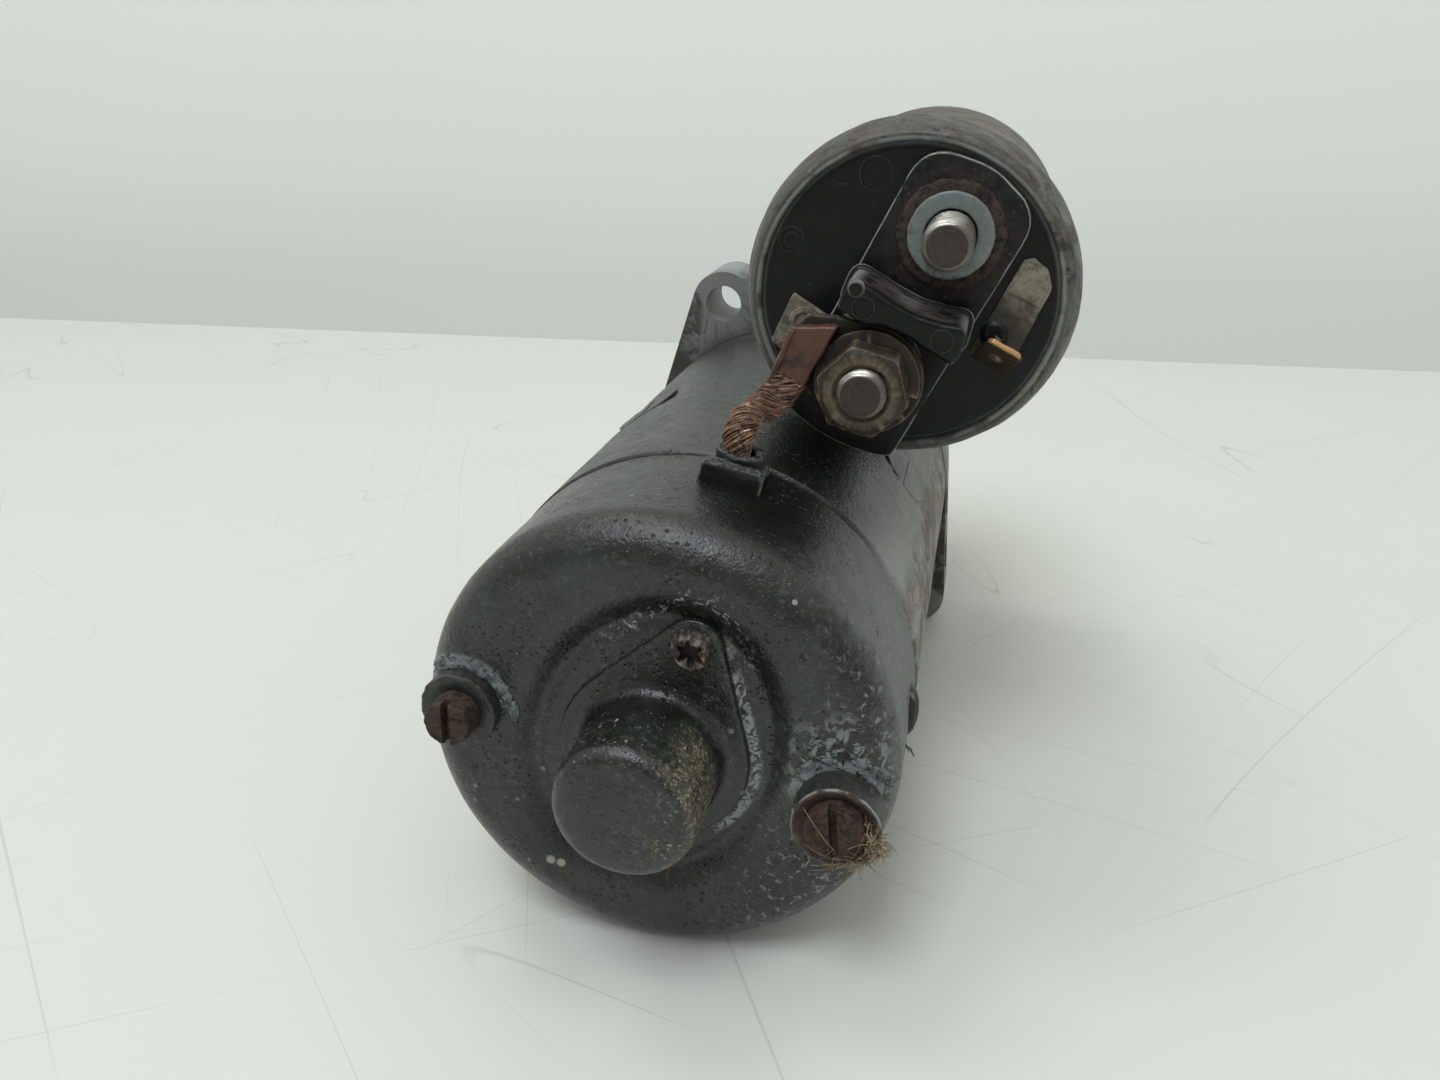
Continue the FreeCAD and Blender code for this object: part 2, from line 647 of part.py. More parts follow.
def solenoid_housing():
    """Steel can: closed at the bracket end, rim rolled over the moulded cap."""
    points = [
        (ROD_RADIUS + GAP, SOL_FRONT), (SOL_BODY_RADIUS, SOL_FRONT),
        (SOL_BODY_RADIUS, SOL_REAR + 11.0), (SOL_RIM_RADIUS, SOL_REAR + 9.5),
        (SOL_RIM_RADIUS, SOL_REAR + 7.0), (SOL_BORE + 1.5, SOL_REAR), (SOL_BORE, SOL_REAR),
        (SOL_BORE, SOL_FRONT - CAN_WALL), (ROD_RADIUS + GAP, SOL_FRONT - CAN_WALL),
    ]
    can = turned(points, 0, SOL_HEIGHT)
    for angle in SOL_SCREW_ANGLES:
        x, z = polar(SOL_SCREW_CIRCLE, angle)
        can = can.cut(rod(SOL_SCREW_RADIUS, SOL_FRONT - 5, SOL_FRONT + 1, x, SOL_HEIGHT + z))
    return can


SOL_SCREW_ANGLES = (30.0, 150.0, 270.0)
SOL_SCREW_CIRCLE = 19.0
SOL_SCREW_RADIUS = 2.5
SOL_SCREW_HEAD = 4.2


def solenoid_screws():
    """Three screws that hold the can to the bracket's pad, heads sunk in the tower's sides."""
    screws = []
    for angle in SOL_SCREW_ANGLES:
        x, z = polar(SOL_SCREW_CIRCLE, angle)
        shank = rod(SOL_SCREW_RADIUS, SOL_FRONT - 3.8, PAD_FRONT + 0.1, x, SOL_HEIGHT + z)
        head = rod(SOL_SCREW_HEAD, PAD_FRONT, PAD_FRONT + 3.0, x, SOL_HEIGHT + z)
        screws.append(shank.fuse(head))
    return Part.makeCompound(screws)


def solenoid_core():
    """Fixed core: a disc that closes the coil's end and a stub inside the bobbin."""
    points = [
        (CONTACT_ROD + 0.3, COIL_FLANGE_REAR), (SOL_BORE, COIL_FLANGE_REAR),
        (SOL_BORE, COIL_FLANGE_REAR + 4), (PLUNGER_RADIUS, COIL_FLANGE_REAR + 4),
        (PLUNGER_RADIUS, CORE_TIP), (CONTACT_ROD + 0.3, CORE_TIP),
    ]
    return turned(points, 0, SOL_HEIGHT)


def solenoid_bobbin():
    """Bobbin with a flange at each end."""
    rear = COIL_FLANGE_REAR + 4
    front = SOL_FRONT - CAN_WALL
    bore = PLUNGER_RADIUS + GAP
    barrel = bore + 1.2
    flange = SOL_BORE - 0.2
    points = [
        (bore, rear), (flange, rear), (flange, rear + 1.5), (barrel, rear + 1.5),
        (barrel, front - 1.5), (flange, front - 1.5), (flange, front), (bore, front),
    ]
    return turned(points, 0, SOL_HEIGHT)


def solenoid_winding():
    """Copper winding on the bobbin."""
    barrel = PLUNGER_RADIUS + GAP + 1.2
    return tube(23.8, barrel, COIL_FLANGE_REAR + 5.5, SOL_FRONT - CAN_WALL - 1.5, 0, SOL_HEIGHT)


def solenoid_plunger():
    """Plunger with its rod, spring collar and the slotted eye for the lever."""
    points = [
        (0, PLUNGER_REAR), (PLUNGER_RADIUS, PLUNGER_REAR), (PLUNGER_RADIUS, PLUNGER_NECK),
        (ROD_RADIUS, PLUNGER_NECK), (ROD_RADIUS, ROD_END - 1), (ROD_RADIUS - 1, ROD_END), (0, ROD_END),
    ]
    body = turned(points, 0, SOL_HEIGHT)
    collar = rod(9.6, COLLAR_REAR, COLLAR_REAR + 2.2, 0, SOL_HEIGHT)
    slot = box(-2.9, 2.9, EYE_Y - EYE_HALF, EYE_Y + EYE_HALF, SOL_HEIGHT - 20, SOL_HEIGHT + 20)
    return body.fuse(collar).cut(slot)


def plunger_return_spring():
    """Return spring round the rod, between the can's front face and the collar."""
    return coil_spring(8.6, 0.5, SOL_FRONT, COLLAR_REAR, 3, 0, SOL_HEIGHT)


def moving_contact():
    """Copper bridge on its push rod, behind the moulded cap."""
    bridge = tube(CONTACT_RADIUS, CONTACT_ROD, CONTACT_FACE, CONTACT_FACE + 2.2, 0, SOL_HEIGHT)
    push_rod = rod(CONTACT_ROD, CONTACT_FACE - 1.6, CONTACT_ROD_END, 0, SOL_HEIGHT)
    return bridge.fuse(push_rod)


PLATEAU_HALF = 10.7
PLATEAU_RADIUS = 24.4
PLATEAU_FOOT_RADIUS = 27.8
PLATE_WALL = 3.0
STUD_HEAD_RADIUS = 6.5
WALL_OUTLINE = (
    (-9.6, 1.4), (-5.2, 1.2), (-1.2, 1.0), (2.3, 1.1), (6.5, 2.0), (10.3, 3.4),
    (11.5, -1.2), (11.2, -3.1), (6.4, -2.9), (2.5, -2.6), (-1.0, -3.0), (-3.9, -4.4), (-7.6, -4.5), (-9.1, -3.9),
)


def raised_area(radius, start, end, bottom, top):
    """Band round the two studs, straight at its sides and cut to a circle at its ends."""
    left = STUD_X - PLATEAU_HALF
    right = STUD_X + PLATEAU_HALF
    band = box(left, right, start, end, SOL_HEIGHT + bottom, SOL_HEIGHT + top)
    return band.common(rod(radius, start, end, 0, SOL_HEIGHT))


def solenoid_cap():
    """Moulded cap: flat face, raised area round the studs, wall between them."""
    inner_floor = CONTACT_FACE - CONTACT_TRAVEL - 0.5
    head_room = inner_floor - 1.6
    inside = COIL_FLANGE_REAR + 1
    plate = rod(SOL_BORE, CAP_PLATE_FACE, COIL_FLANGE_REAR, 0, SOL_HEIGHT)
    plate = plate.cut(rod(SOL_BORE - PLATE_WALL, inner_floor, inside, 0, SOL_HEIGHT))
    cap = plate.fuse(raised_area(PLATEAU_RADIUS, PLATEAU_FACE, CAP_PLATE_FACE + 1, -SOL_BORE, SOL_BORE))
    cap = cap.fuse(raised_area(PLATEAU_FOOT_RADIUS, PLATEAU_FACE, SOL_REAR, -SOL_RIM_RADIUS, -STUD_OFFSET))
    cap = cap.fuse(rod(LUG_SEAT_RADIUS, LUG_FACE + LUG_THICKNESS, PLATEAU_FACE + 1, STUD_X, LOWER_Z))
    outline = [(x, SOL_HEIGHT + z) for x, z in WALL_OUTLINE]
    wall = front_plate(outline, BARRIER_FACE, PLATEAU_FACE + 1)
    cap = cap.fuse(wall)
    cap = cap.cut(rod(CONTACT_ROD + 0.5, head_room, inside, 0, SOL_HEIGHT))
    for z in (UPPER_Z, LOWER_Z):
        cap = cap.cut(rod(SHANK_RADIUS, BARRIER_FACE - 1, inside, STUD_X, z))
        cap = cap.cut(rod(STUD_HEAD_RADIUS + 0.1, head_room, inside, STUD_X, z))
    return cap


STUD_HEAD = CONTACT_FACE - CONTACT_TRAVEL - 2.1
STUD_CHAMFER = 0.6
TIP_30 = CAP_FACE + 32.0
TIP_45 = CAP_FACE + 25.2


def terminal_stud(tip, thread_end, z):
    """Contact bolt: a round head inside the cap, a plain shank and a threaded end outside."""
    thread = rod(STUD_RADIUS, tip, thread_end, STUD_X, z)
    tip_edges = [e for e in thread.Edges if e.BoundBox.YMax < tip + 0.01]
    thread = thread.makeChamfer(STUD_CHAMFER, tip_edges)
    shank = rod(SHANK_RADIUS, thread_end, STUD_HEAD + 0.5, STUD_X, z)
    head = rod(STUD_HEAD_RADIUS, STUD_HEAD, STUD_HEAD + 2.0, STUD_X, z)
    return thread.fuse(shank).fuse(head)


LUG_SEAT_RADIUS = 7.6
SEAT_FACE = PLATEAU_FACE - 0.6
WASHER_FACE = SEAT_FACE - 1.0
SEAT_RADIUS = 8.5
ZINC_WASHER_RADIUS = 6.9
UPPER_Z = SOL_HEIGHT + STUD_OFFSET
LOWER_Z = SOL_HEIGHT - STUD_OFFSET
LUG_FACE = -114.9
LUG_THICKNESS = 1.8
LUG_RADIUS = 9.0
SPRING_WASHER_RADIUS = 7.6
NUT_TURN = 12.0
SPRING_WASHER_THICKNESS = 2.0
NUT_HEIGHT = 6.3


def terminal_30_seat():
    """Thin ring under the washer of the battery stud."""
    return tube(SEAT_RADIUS, SHANK_RADIUS, SEAT_FACE, PLATEAU_FACE, STUD_X, UPPER_Z)


def terminal_30_washer():
    """Plain washer of the battery stud."""
    return tube(ZINC_WASHER_RADIUS, SHANK_RADIUS, WASHER_FACE, SEAT_FACE, STUD_X, UPPER_Z)


def terminal_45_lug():
    """Lug plate of the field lead: round, with a flat side towards the bar."""
    rear = LUG_FACE + LUG_THICKNESS
    disc = tube(LUG_RADIUS, SHANK_RADIUS, LUG_FACE, rear, STUD_X, LOWER_Z)
    ear = box(-BAR_LEFT, STUD_X - 7.0, LUG_FACE, rear, LOWER_Z - 7.0, LOWER_Z + 4.6)
    return disc.fuse(ear).removeSplitter()


def terminal_45_washer():
    """Split spring washer."""
    start = LUG_FACE - SPRING_WASHER_THICKNESS
    ring = tube(SPRING_WASHER_RADIUS, SHANK_RADIUS, start, LUG_FACE, STUD_X, LOWER_Z)
    slit = box(STUD_X + 3.0, STUD_X + 9.0, start - 1, LUG_FACE + 1, LOWER_Z - 0.5, LOWER_Z + 0.5)
    return ring.cut(slit)


def terminal_45_nut():
    """Hexagon nut, 13 mm across flats, with a bevelled outer face."""
    seat = LUG_FACE - SPRING_WASHER_THICKNESS
    top = seat - NUT_HEIGHT
    nut = hexagon(13.0, top, seat, STUD_X, LOWER_Z, NUT_TURN)
    bevel = turned([(0, top), (6.3, top), (8.2, top + 1.2), (8.2, seat), (0, seat)], STUD_X, LOWER_Z)
    return nut.common(bevel).cut(rod(STUD_RADIUS, top - 1, seat + 1, STUD_X, LOWER_Z))


BLADE_WIDTH = 6.3
BLADE_THICKNESS = 0.8
BLADE_LENGTH = 8.8
BLADE_TILT = 35.0
BLADE_X = 17.6
BLADE_ROOT = -2.8
BLADE_HOLE = 0.9
STRIP_X = 16.4
STRIP_TOP = 15.0


def terminal_50_tab():
    """Flat strip on the cap's face, folded at its lower end into a 6.3 mm blade."""
    face = CAP_PLATE_FACE
    half = BLADE_WIDTH / 2
    root_z = SOL_HEIGHT + BLADE_ROOT
    hole_y = face - 0.6 * BLADE_LENGTH
    strip = box(STRIP_X - half, STRIP_X + half, face - BLADE_THICKNESS, face, root_z, SOL_HEIGHT + STRIP_TOP)
    foot = box(STRIP_X, BLADE_X + half, face - BLADE_THICKNESS, face, root_z, root_z + 2.0)
    blade = box(BLADE_X - half, BLADE_X + half, face - BLADE_LENGTH, face, root_z, root_z + BLADE_THICKNESS)
    hole = Part.makeCylinder(BLADE_HOLE, 4, V(BLADE_X, hole_y, root_z - 2), V(0, 0, 1))
    blade = blade.cut(hole)
    blade.rotate(V(BLADE_X, face, root_z), V(1, 0, 0), -BLADE_TILT)
    tab = strip.fuse(foot).fuse(blade)
    outside = box(0, SOL_RIM_RADIUS, face - 2 * BLADE_LENGTH, face, root_z - 2, SOL_HEIGHT + SOL_BORE)
    within_rim = rod(SOL_BORE, face - 2 * BLADE_LENGTH, face, 0, SOL_HEIGHT)
    return tab.common(outside).common(within_rim)


COIL_PLATE = (-16.9, -9.2)
COIL_PLATE_HEIGHTS = (-18.0, -8.8)
COIL_PLATE_THICKNESS = 1.2


def coil_end_plate():
    """Square plate where the winding's end is welded, cut to the rim's curve."""
    face = CAP_PLATE_FACE
    left, right = COIL_PLATE
    bottom, top = (SOL_HEIGHT + z for z in COIL_PLATE_HEIGHTS)
    plate = box(left, right, face - COIL_PLATE_THICKNESS, face, bottom, top)
    plate = plate.common(rod(SOL_BORE - GAP, face - 2, face, 0, SOL_HEIGHT))
    return plate.cut(raised_area(PLATEAU_RADIUS, PLATEAU_FACE, face, -SOL_BORE, SOL_BORE))


# ---- field lead ----
BAR_LEFT = 13.7
BAR_RIGHT = 7.3
BAR_OUTLINE = ((-13.8, -10.1), (-7.2, -6.3), (-7.5, -19.2), (-13.1, -21.6))
BAR_BOTTOM = SOL_HEIGHT - 20.6
BAR_REAR = LUG_FACE - 3.0
LEAD_RADIUS = 2.5
LEAD_EXIT_Y = CAP_FACE + 26.8


def lead_path():
    """Centre line of the braid: up out of the grommet, bent over, up to the bar."""
    foot_x, foot_z = polar(GROMMET_FOOT + 1.0, GROMMET_ANGLE)
    bend_x, bend_z = polar(GROMMET_TOP + 3.4, GROMMET_ANGLE)
    top = V(-(BAR_LEFT + BAR_RIGHT) / 2, BAR_REAR + 1.6, BAR_BOTTOM + 1.0)
    return [V(foot_x, LEAD_EXIT_Y, foot_z), V(bend_x, LEAD_EXIT_Y, bend_z), top]


def field_lead():
    """Copper braid with its end pressed into a flat bar on the lug."""
    points = lead_path()
    lead = Part.makeSphere(LEAD_RADIUS, points[1])
    for a, b in zip(points[:-1], points[1:]):
        lead = lead.fuse(Part.makeCylinder(LEAD_RADIUS, (b - a).Length, a, b - a))
    bar = front_plate([(x, SOL_HEIGHT + z) for x, z in BAR_OUTLINE], BAR_REAR, LUG_FACE)
    return lead.fuse(bar)


# ---- drive end bracket ----
TOWER_HALF = 21.0
TOWER_REAR = -26.5
PAD_FRONT = -26.5
NOSE_RADIUS = 29.5
NOSE_BORE = 25.0
NOSE_WALL_START = 38.0
SPIGOT_RADIUS = YOKE_BORE
SPIGOT_DEPTH = 3.0
ROOT_RADIUS = PILOT_RADIUS + 0.4
ROOT_DEPTH = 2.0
WINDOW_START = 9.0
WINDOW_END = NOSE_WALL_START - 1.5
WINDOW_HALF = 22.0
WINDOW_TOP = -6.0
CAVITY_RADIUS = 31.0
CAVITY_FRONT = -4.0
PLUNGER_SPACE = 11.0
BOLT_LUG = 5.2
EDGE_ROUND = 1.0
TOWER_ROUND = 5.0
NOSE_ROUND = 7.0
RIB_HEIGHT = 2.6
RIB_WIDTH = 3.0
BOSS_LENGTH = 4.0
BOSS_RADIUS = 12.0
FORK_SPACE = 17.5
BOSS_SPACE = 8.2
NOSE_RIB_ANGLES = (0, 45, 90, 135, 180)
HOLLOW_ANGLES = (16.0, -2.5)


def rings_at(shape, y):
    """Edges that lie in the plane across the armature axis at y."""
    return [e for e in shape.Edges if abs(e.BoundBox.YMin - y) < 0.01 and abs(e.BoundBox.YMax - y) < 0.01]


def bracket_flange():
    """Round flange with its two ears and the hollows cast into its right side."""
    flange = rod(YOKE_RADIUS, YOKE_END, 0)
    for angle, distance in zip(EAR_ANGLES, EAR_DISTANCES):
        flange = flange.fuse(tangent_lobe(YOKE_RADIUS, EAR_RADIUS, distance, angle, EAR_BACK, 0))
    flange = flange.removeSplitter()
    flange = flange.makeFillet(EDGE_ROUND, rings_at(flange, 0))
    for angle in HOLLOW_ANGLES:
        hollow = box(CAVITY_RADIUS + 4.5, 60, EAR_BACK + 3, -4, -4.2, 4.2)
        flange = flange.cut(at_angle(hollow, angle))
    return flange


def bracket_tower():
    """Housing over the lever, rounded at its front, with the solenoid's pad behind."""
    tower = box(-TOWER_HALF, TOWER_HALF, YOKE_END, 0, 0, SOL_HEIGHT)
    tower = tower.fuse(rod(TOWER_HALF, YOKE_END, 0, 0, SOL_HEIGHT)).removeSplitter()
    tower = tower.makeFillet(TOWER_ROUND, [e for e in rings_at(tower, 0) if e.BoundBox.ZMax > 1])
    tower = tower.fuse(rod(TOWER_HALF, TOWER_REAR, YOKE_END, 0, SOL_HEIGHT))
    neck = box(-TOWER_HALF, TOWER_HALF, TOWER_REAR, YOKE_END, YOKE_RADIUS + 3.0, SOL_HEIGHT)
    pad = rod(SOL_BODY_RADIUS, SOL_FRONT, PAD_FRONT, 0, SOL_HEIGHT)
    pad = pad.makeFillet(EDGE_ROUND, rings_at(pad, PAD_FRONT))
    return tower.multiFuse([neck, pad])


def tower_rib():
    """Cast rib across both of the tower's sides, up to the pad."""
    return side_plate([(-6.5, PIVOT_Z + 4), (-9.5, PIVOT_Z + 4), (TOWER_REAR, SOL_HEIGHT - 2),
                       (TOWER_REAR, SOL_HEIGHT + 2)], TOWER_HALF + RIB_HEIGHT)


def drive_end_bracket():
    """Cast bracket: flange with two ears and the lever's tower with the solenoid's pad."""
    body = bracket_flange().fuse(rod(SPIGOT_RADIUS, YOKE_END - SPIGOT_DEPTH, YOKE_END))
    body = body.multiFuse([bracket_tower(), tower_rib()])
    # inside: motor cavity, clutch bore, lever's space, plunger's space
    body = body.cut(rod(CAVITY_RADIUS, YOKE_END - SPIGOT_DEPTH - 1, CAVITY_FRONT))
    body = body.cut(rod(NOSE_BORE, CAVITY_FRONT - 1, 1))
    body = body.cut(box(-FORK_SPACE, FORK_SPACE, YOKE_END, CAVITY_FRONT + 1, 0, PIVOT_Z + 9))
    body = body.cut(box(-BOSS_SPACE, BOSS_SPACE, YOKE_END - 4, CAVITY_FRONT + 1, PIVOT_Z + 2, SOL_HEIGHT))
    body = body.cut(rod(PLUNGER_SPACE, SOL_FRONT - 1, CAVITY_FRONT + 1, 0, SOL_HEIGHT))
    for angle, distance in zip(EAR_ANGLES, EAR_DISTANCES):
        x, z = polar(distance, angle)
        body = body.cut(rod(EAR_HOLE, EAR_BACK - 1, 1, x, z))
    for angle in BOLT_ANGLES:
        x, z = polar(BOLT_CIRCLE, angle)
        lug = rod(BOLT_LUG, YOKE_END - SPIGOT_DEPTH, -1, x, z).common(rod(YOKE_BORE, YOKE_END - 4, 0))
        body = body.fuse(lug).cut(rod(BOLT_RADIUS, YOKE_END - 5, BOLT_END, x, z))
    body = body.cut(rod(ROOT_RADIUS, -ROOT_DEPTH, 1))
    body = body.cut(Part.makeCylinder(PIN_RADIUS, 60, V(-30, PIVOT_Y, PIVOT_Z), V(1, 0, 0)))
    for angle in SOL_SCREW_ANGLES:
        x, z = polar(SOL_SCREW_CIRCLE, angle)
        body = body.cut(rod(SOL_SCREW_RADIUS, SOL_FRONT - 1, PAD_FRONT + 1, x, SOL_HEIGHT + z))
        body = body.cut(rod(SOL_SCREW_HEAD + 0.2, PAD_FRONT, PAD_FRONT + 3.3, x, SOL_HEIGHT + z))
    return body


def nose_rib():
    """Rib at the +X side, from the pilot's end along the nose."""
    points = [
        (NOSE_RADIUS - 1, PILOT_END - 1), (PILOT_RADIUS - 0.4, PILOT_END - 1),
        (PILOT_RADIUS - 1.4, NOSE_WALL_START - 8), (NOSE_RADIUS - 1, NOSE_WALL_START - 2),
    ]
    corners = [V(r, y, -RIB_WIDTH / 2) for r, y in points]
    return Part.Face(Part.makePolygon(corners + [corners[0]])).extrude(V(0, 0, RIB_WIDTH))


def bracket_nose():
    """Pilot and closed nose of the same casting, tapering to the bush's boss."""
    pilot = rod(PILOT_RADIUS, 0, PILOT_END)
    pilot = pilot.makeChamfer(0.8, rings_at(pilot, PILOT_END))
    points = [(0, PILOT_END - 1), (NOSE_RADIUS + 1.5, PILOT_END - 1), (NOSE_RADIUS, PILOT_END + 6)]
    boss_start = NOSE_END - BOSS_LENGTH
    corner = boss_start - NOSE_ROUND
    for step in range(5):
        turn = math.radians(22.5 * step)
        points.append((NOSE_RADIUS - NOSE_ROUND * (1 - math.cos(turn)), corner + NOSE_ROUND * math.sin(turn)))
    points += [(BOSS_RADIUS + 1, boss_start), (BOSS_RADIUS, NOSE_END), (0, NOSE_END)]
    ribs = [at_angle(nose_rib(), angle) for angle in NOSE_RIB_ANGLES]
    root = rod(ROOT_RADIUS, -ROOT_DEPTH, 0)
    nose = pilot.multiFuse([root, turned(points)] + ribs)
    nose = nose.cut(rod(NOSE_BORE, -ROOT_DEPTH - 1, NOSE_WALL_START))
    nose = nose.cut(rod(BUSH_OUTER, NOSE_WALL_START - 1, NOSE_END + 1))
    # window where the ring gear reaches the pinion, on the side away from the solenoid
    window = box(-WINDOW_HALF, WINDOW_HALF, WINDOW_START, WINDOW_END, -2 * NOSE_RADIUS, WINDOW_TOP)
    return nose.cut(window)


def nose_bush():
    return tube(BUSH_OUTER, BUSH_JOURNAL + RUNNING, NOSE_WALL_START, NOSE_END - 1)


def bracket_seal():
    """Rubber block that fills the gap between yoke, solenoid and tower."""
    block = box(-12, 12, -46.0, TOWER_REAR, 36.0, SOL_HEIGHT)
    block = block.cut(rod(YOKE_RADIUS, -60, 0)).cut(rod(SOL_BODY_RADIUS, -60, SOL_FRONT, 0, SOL_HEIGHT))
    block = block.cut(box(-20, 20, SOL_FRONT, 0, YOKE_RADIUS + 3.0, 80))
    return block


# ---- write every node ----
SINGLE_NODES = (
    rear_end_cap, rear_bearing_cap, bearing_cap_screws, rear_bush, through_bolt_washers,
    through_bolts, lead_grommet, drain_plug, yoke, pole_screws, brush_plate, brush_holders,
    brushes, brush_springs, armature_shaft, shaft_clip, armature_core, armature_windings, commutator,
    stop_ring, drive_sleeve, engagement_spring, clutch_housing, clutch_rollers, pinion,
    shift_lever, lever_pivot_pin, solenoid_housing, solenoid_screws, solenoid_core,
    solenoid_bobbin, solenoid_winding, solenoid_plunger, plunger_return_spring,
    moving_contact, solenoid_cap, terminal_30_seat, terminal_30_washer, terminal_45_lug,
    terminal_45_washer, terminal_45_nut, terminal_50_tab, coil_end_plate,
    field_lead, drive_end_bracket, bracket_nose, nose_bush, bracket_seal,
)

for make in SINGLE_NODES:
    save(make.__name__, make())

save("terminal_30_stud", terminal_stud(TIP_30, WASHER_FACE, UPPER_Z))
save("terminal_45_stud", terminal_stud(TIP_45, LUG_FACE - SPRING_WASHER_THICKNESS, LOWER_Z))
for number, pole_angle in enumerate(POLE_ANGLES, start=1):
    save("pole_shoe_%d" % number, at_angle(pole_shoe(), pole_angle))
    save("field_coil_%d" % number, at_angle(field_coil(), pole_angle))

print("drive travel", round(DRIVE_TRAVEL, 4), "plunger travel", round(PLUNGER_TRAVEL, 4))
print("groove", round(GROOVE_Y, 3), "eye", round(EYE_Y, 3))
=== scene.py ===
"""Looks for the starter motor: detailed pieces, materials, light and camera.

Lengths are in millimetres in the upright frame of the machine, where the solenoid is straight
above the armature. row() leans them into the row frame and turns them into metres.
"""

import json
import math
import random

import bmesh
import bpy
import numpy as np
from mathutils import Matrix, Vector, noise


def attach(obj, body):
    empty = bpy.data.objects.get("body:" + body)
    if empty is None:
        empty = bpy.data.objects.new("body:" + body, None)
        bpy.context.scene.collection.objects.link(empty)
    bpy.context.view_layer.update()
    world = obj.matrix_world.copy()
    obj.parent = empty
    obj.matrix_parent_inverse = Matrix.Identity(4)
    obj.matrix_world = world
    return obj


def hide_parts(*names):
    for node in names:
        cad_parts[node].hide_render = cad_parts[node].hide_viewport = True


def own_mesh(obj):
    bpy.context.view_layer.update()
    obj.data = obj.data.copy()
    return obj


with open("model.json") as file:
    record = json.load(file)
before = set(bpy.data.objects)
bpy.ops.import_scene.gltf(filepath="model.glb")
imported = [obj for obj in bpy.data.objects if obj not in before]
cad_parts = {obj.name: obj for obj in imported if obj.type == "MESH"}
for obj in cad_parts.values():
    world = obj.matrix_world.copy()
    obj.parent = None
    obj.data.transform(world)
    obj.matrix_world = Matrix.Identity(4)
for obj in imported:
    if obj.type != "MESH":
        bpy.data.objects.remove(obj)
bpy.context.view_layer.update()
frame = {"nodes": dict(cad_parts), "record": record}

# ---- sizes shared with the CAD ----
LEAN = math.radians(27.7)
CAP_FACE = -150.0
SEAM = -118.0
CAP_RADIUS = 39.5
YOKE_RADIUS = 39.8
YOKE_END = -20.0
SOL_HEIGHT = 72.4
SOL_REAR = -104.0
SOL_BODY_RADIUS = 27.2
SOL_RIM_RADIUS = 28.3
SOL_BORE = 24.7
SOL_FRONT = -32.0
PLATE_FACE = -103.0
PLATEAU_FACE = -104.9
BARRIER_FACE = -117.5
STUD_X = 1.0
STUD_OFFSET = 12.3
UPPER_Z = SOL_HEIGHT + STUD_OFFSET
LOWER_Z = SOL_HEIGHT - STUD_OFFSET
LUG_FACE = -114.9
BOLT_CIRCLE = 31.2
BOLT_ANGLES = (17.3, 197.3)
POLE_ANGLES = (62.3, 152.3, 242.3, 332.3)
POLE_SCREW_Y = -71.0
FLANGE_ANGLE = 96.2
FLANGE_CIRCLE = 21.2
DOME_X = 0.7
DOME_END = -166.5
GROMMET_ANGLE = 104.7
PLUG_ANGLE = 27.7
RIVET_X = 15.4
RIVET_UP = 2.0
EAR_HOLE_CIRCLE = 48.3
EAR_HOLE_ANGLE = 140.0
FLOOR_Z = -0.0398
# Straight up as the motor lies, given in its upright frame.
UP = (-0.465, 0, 0.885)


# ---- frame and mesh helpers ----
def row(points):
    """Upright millimetres to row-frame metres."""
    p = np.asarray(points, float).reshape(-1, 3)
    x = p[:, 0] * math.cos(LEAN) + p[:, 2] * math.sin(LEAN)
    z = p[:, 2] * math.cos(LEAN) - p[:, 0] * math.sin(LEAN)
    return np.stack((x, p[:, 1], z), 1) / 1000


def polar(radius, degrees):
    """(x, z) of a point round the armature axis."""
    a = math.radians(degrees)
    return radius * math.cos(a), radius * math.sin(a)


def circle(count):
    """Evenly spaced angles round a full turn."""
    return np.linspace(0, 2 * math.pi, count, endpoint=False)


def on_solenoid(points):
    """(x, z) points measured from the solenoid's axis, moved there."""
    return [(x, SOL_HEIGHT + z) for x, z in points]


def smooth(lo, hi, value):
    """Smooth step from 0 at lo to 1 at hi."""
    t = np.clip((value - lo) / (hi - lo), 0, 1)
    return t * t * (3 - 2 * t)


def skin(rings, start=True, end=True):
    """Closed surface over rings with the same number of points; flat ends are filled with a fan."""
    count = len(rings[0])
    verts = np.concatenate([np.asarray(r, float).reshape(-1, 3) for r in rings])
    faces = []
    for i in range(len(rings) - 1):
        a = i * count
        for j in range(count):
            k = (j + 1) % count
            faces.append((a + j, a + k, a + count + k, a + count + j))
    for wanted, first, ring in ((start, 0, rings[0]), (end, len(rings) - 1, rings[-1])):
        if wanted:
            verts = np.vstack((verts, np.mean(np.asarray(ring, float), axis=0)))
            hub = len(verts) - 1
            for j in range(count):
                faces.append((first * count + j, first * count + (j + 1) % count, hub))
    return verts, faces


def loop(rings):
    """Surface over rings whose last ring joins the first, such as a ring or a tube's wall."""
    verts, faces = skin(rings, False, False)
    count = len(rings[0])
    last = (len(rings) - 1) * count
    for j in range(count):
        k = (j + 1) % count
        faces.append((last + j, last + k, k, j))
    return verts, faces


def join(*parts):
    """Several parts as one."""
    verts, faces, base = [], [], 0
    for part_verts, part_faces in parts:
        verts.append(np.asarray(part_verts, float).reshape(-1, 3))
        faces += [tuple(base + i for i in f) for f in part_faces]
        base += len(verts[-1])
    return np.concatenate(verts), faces


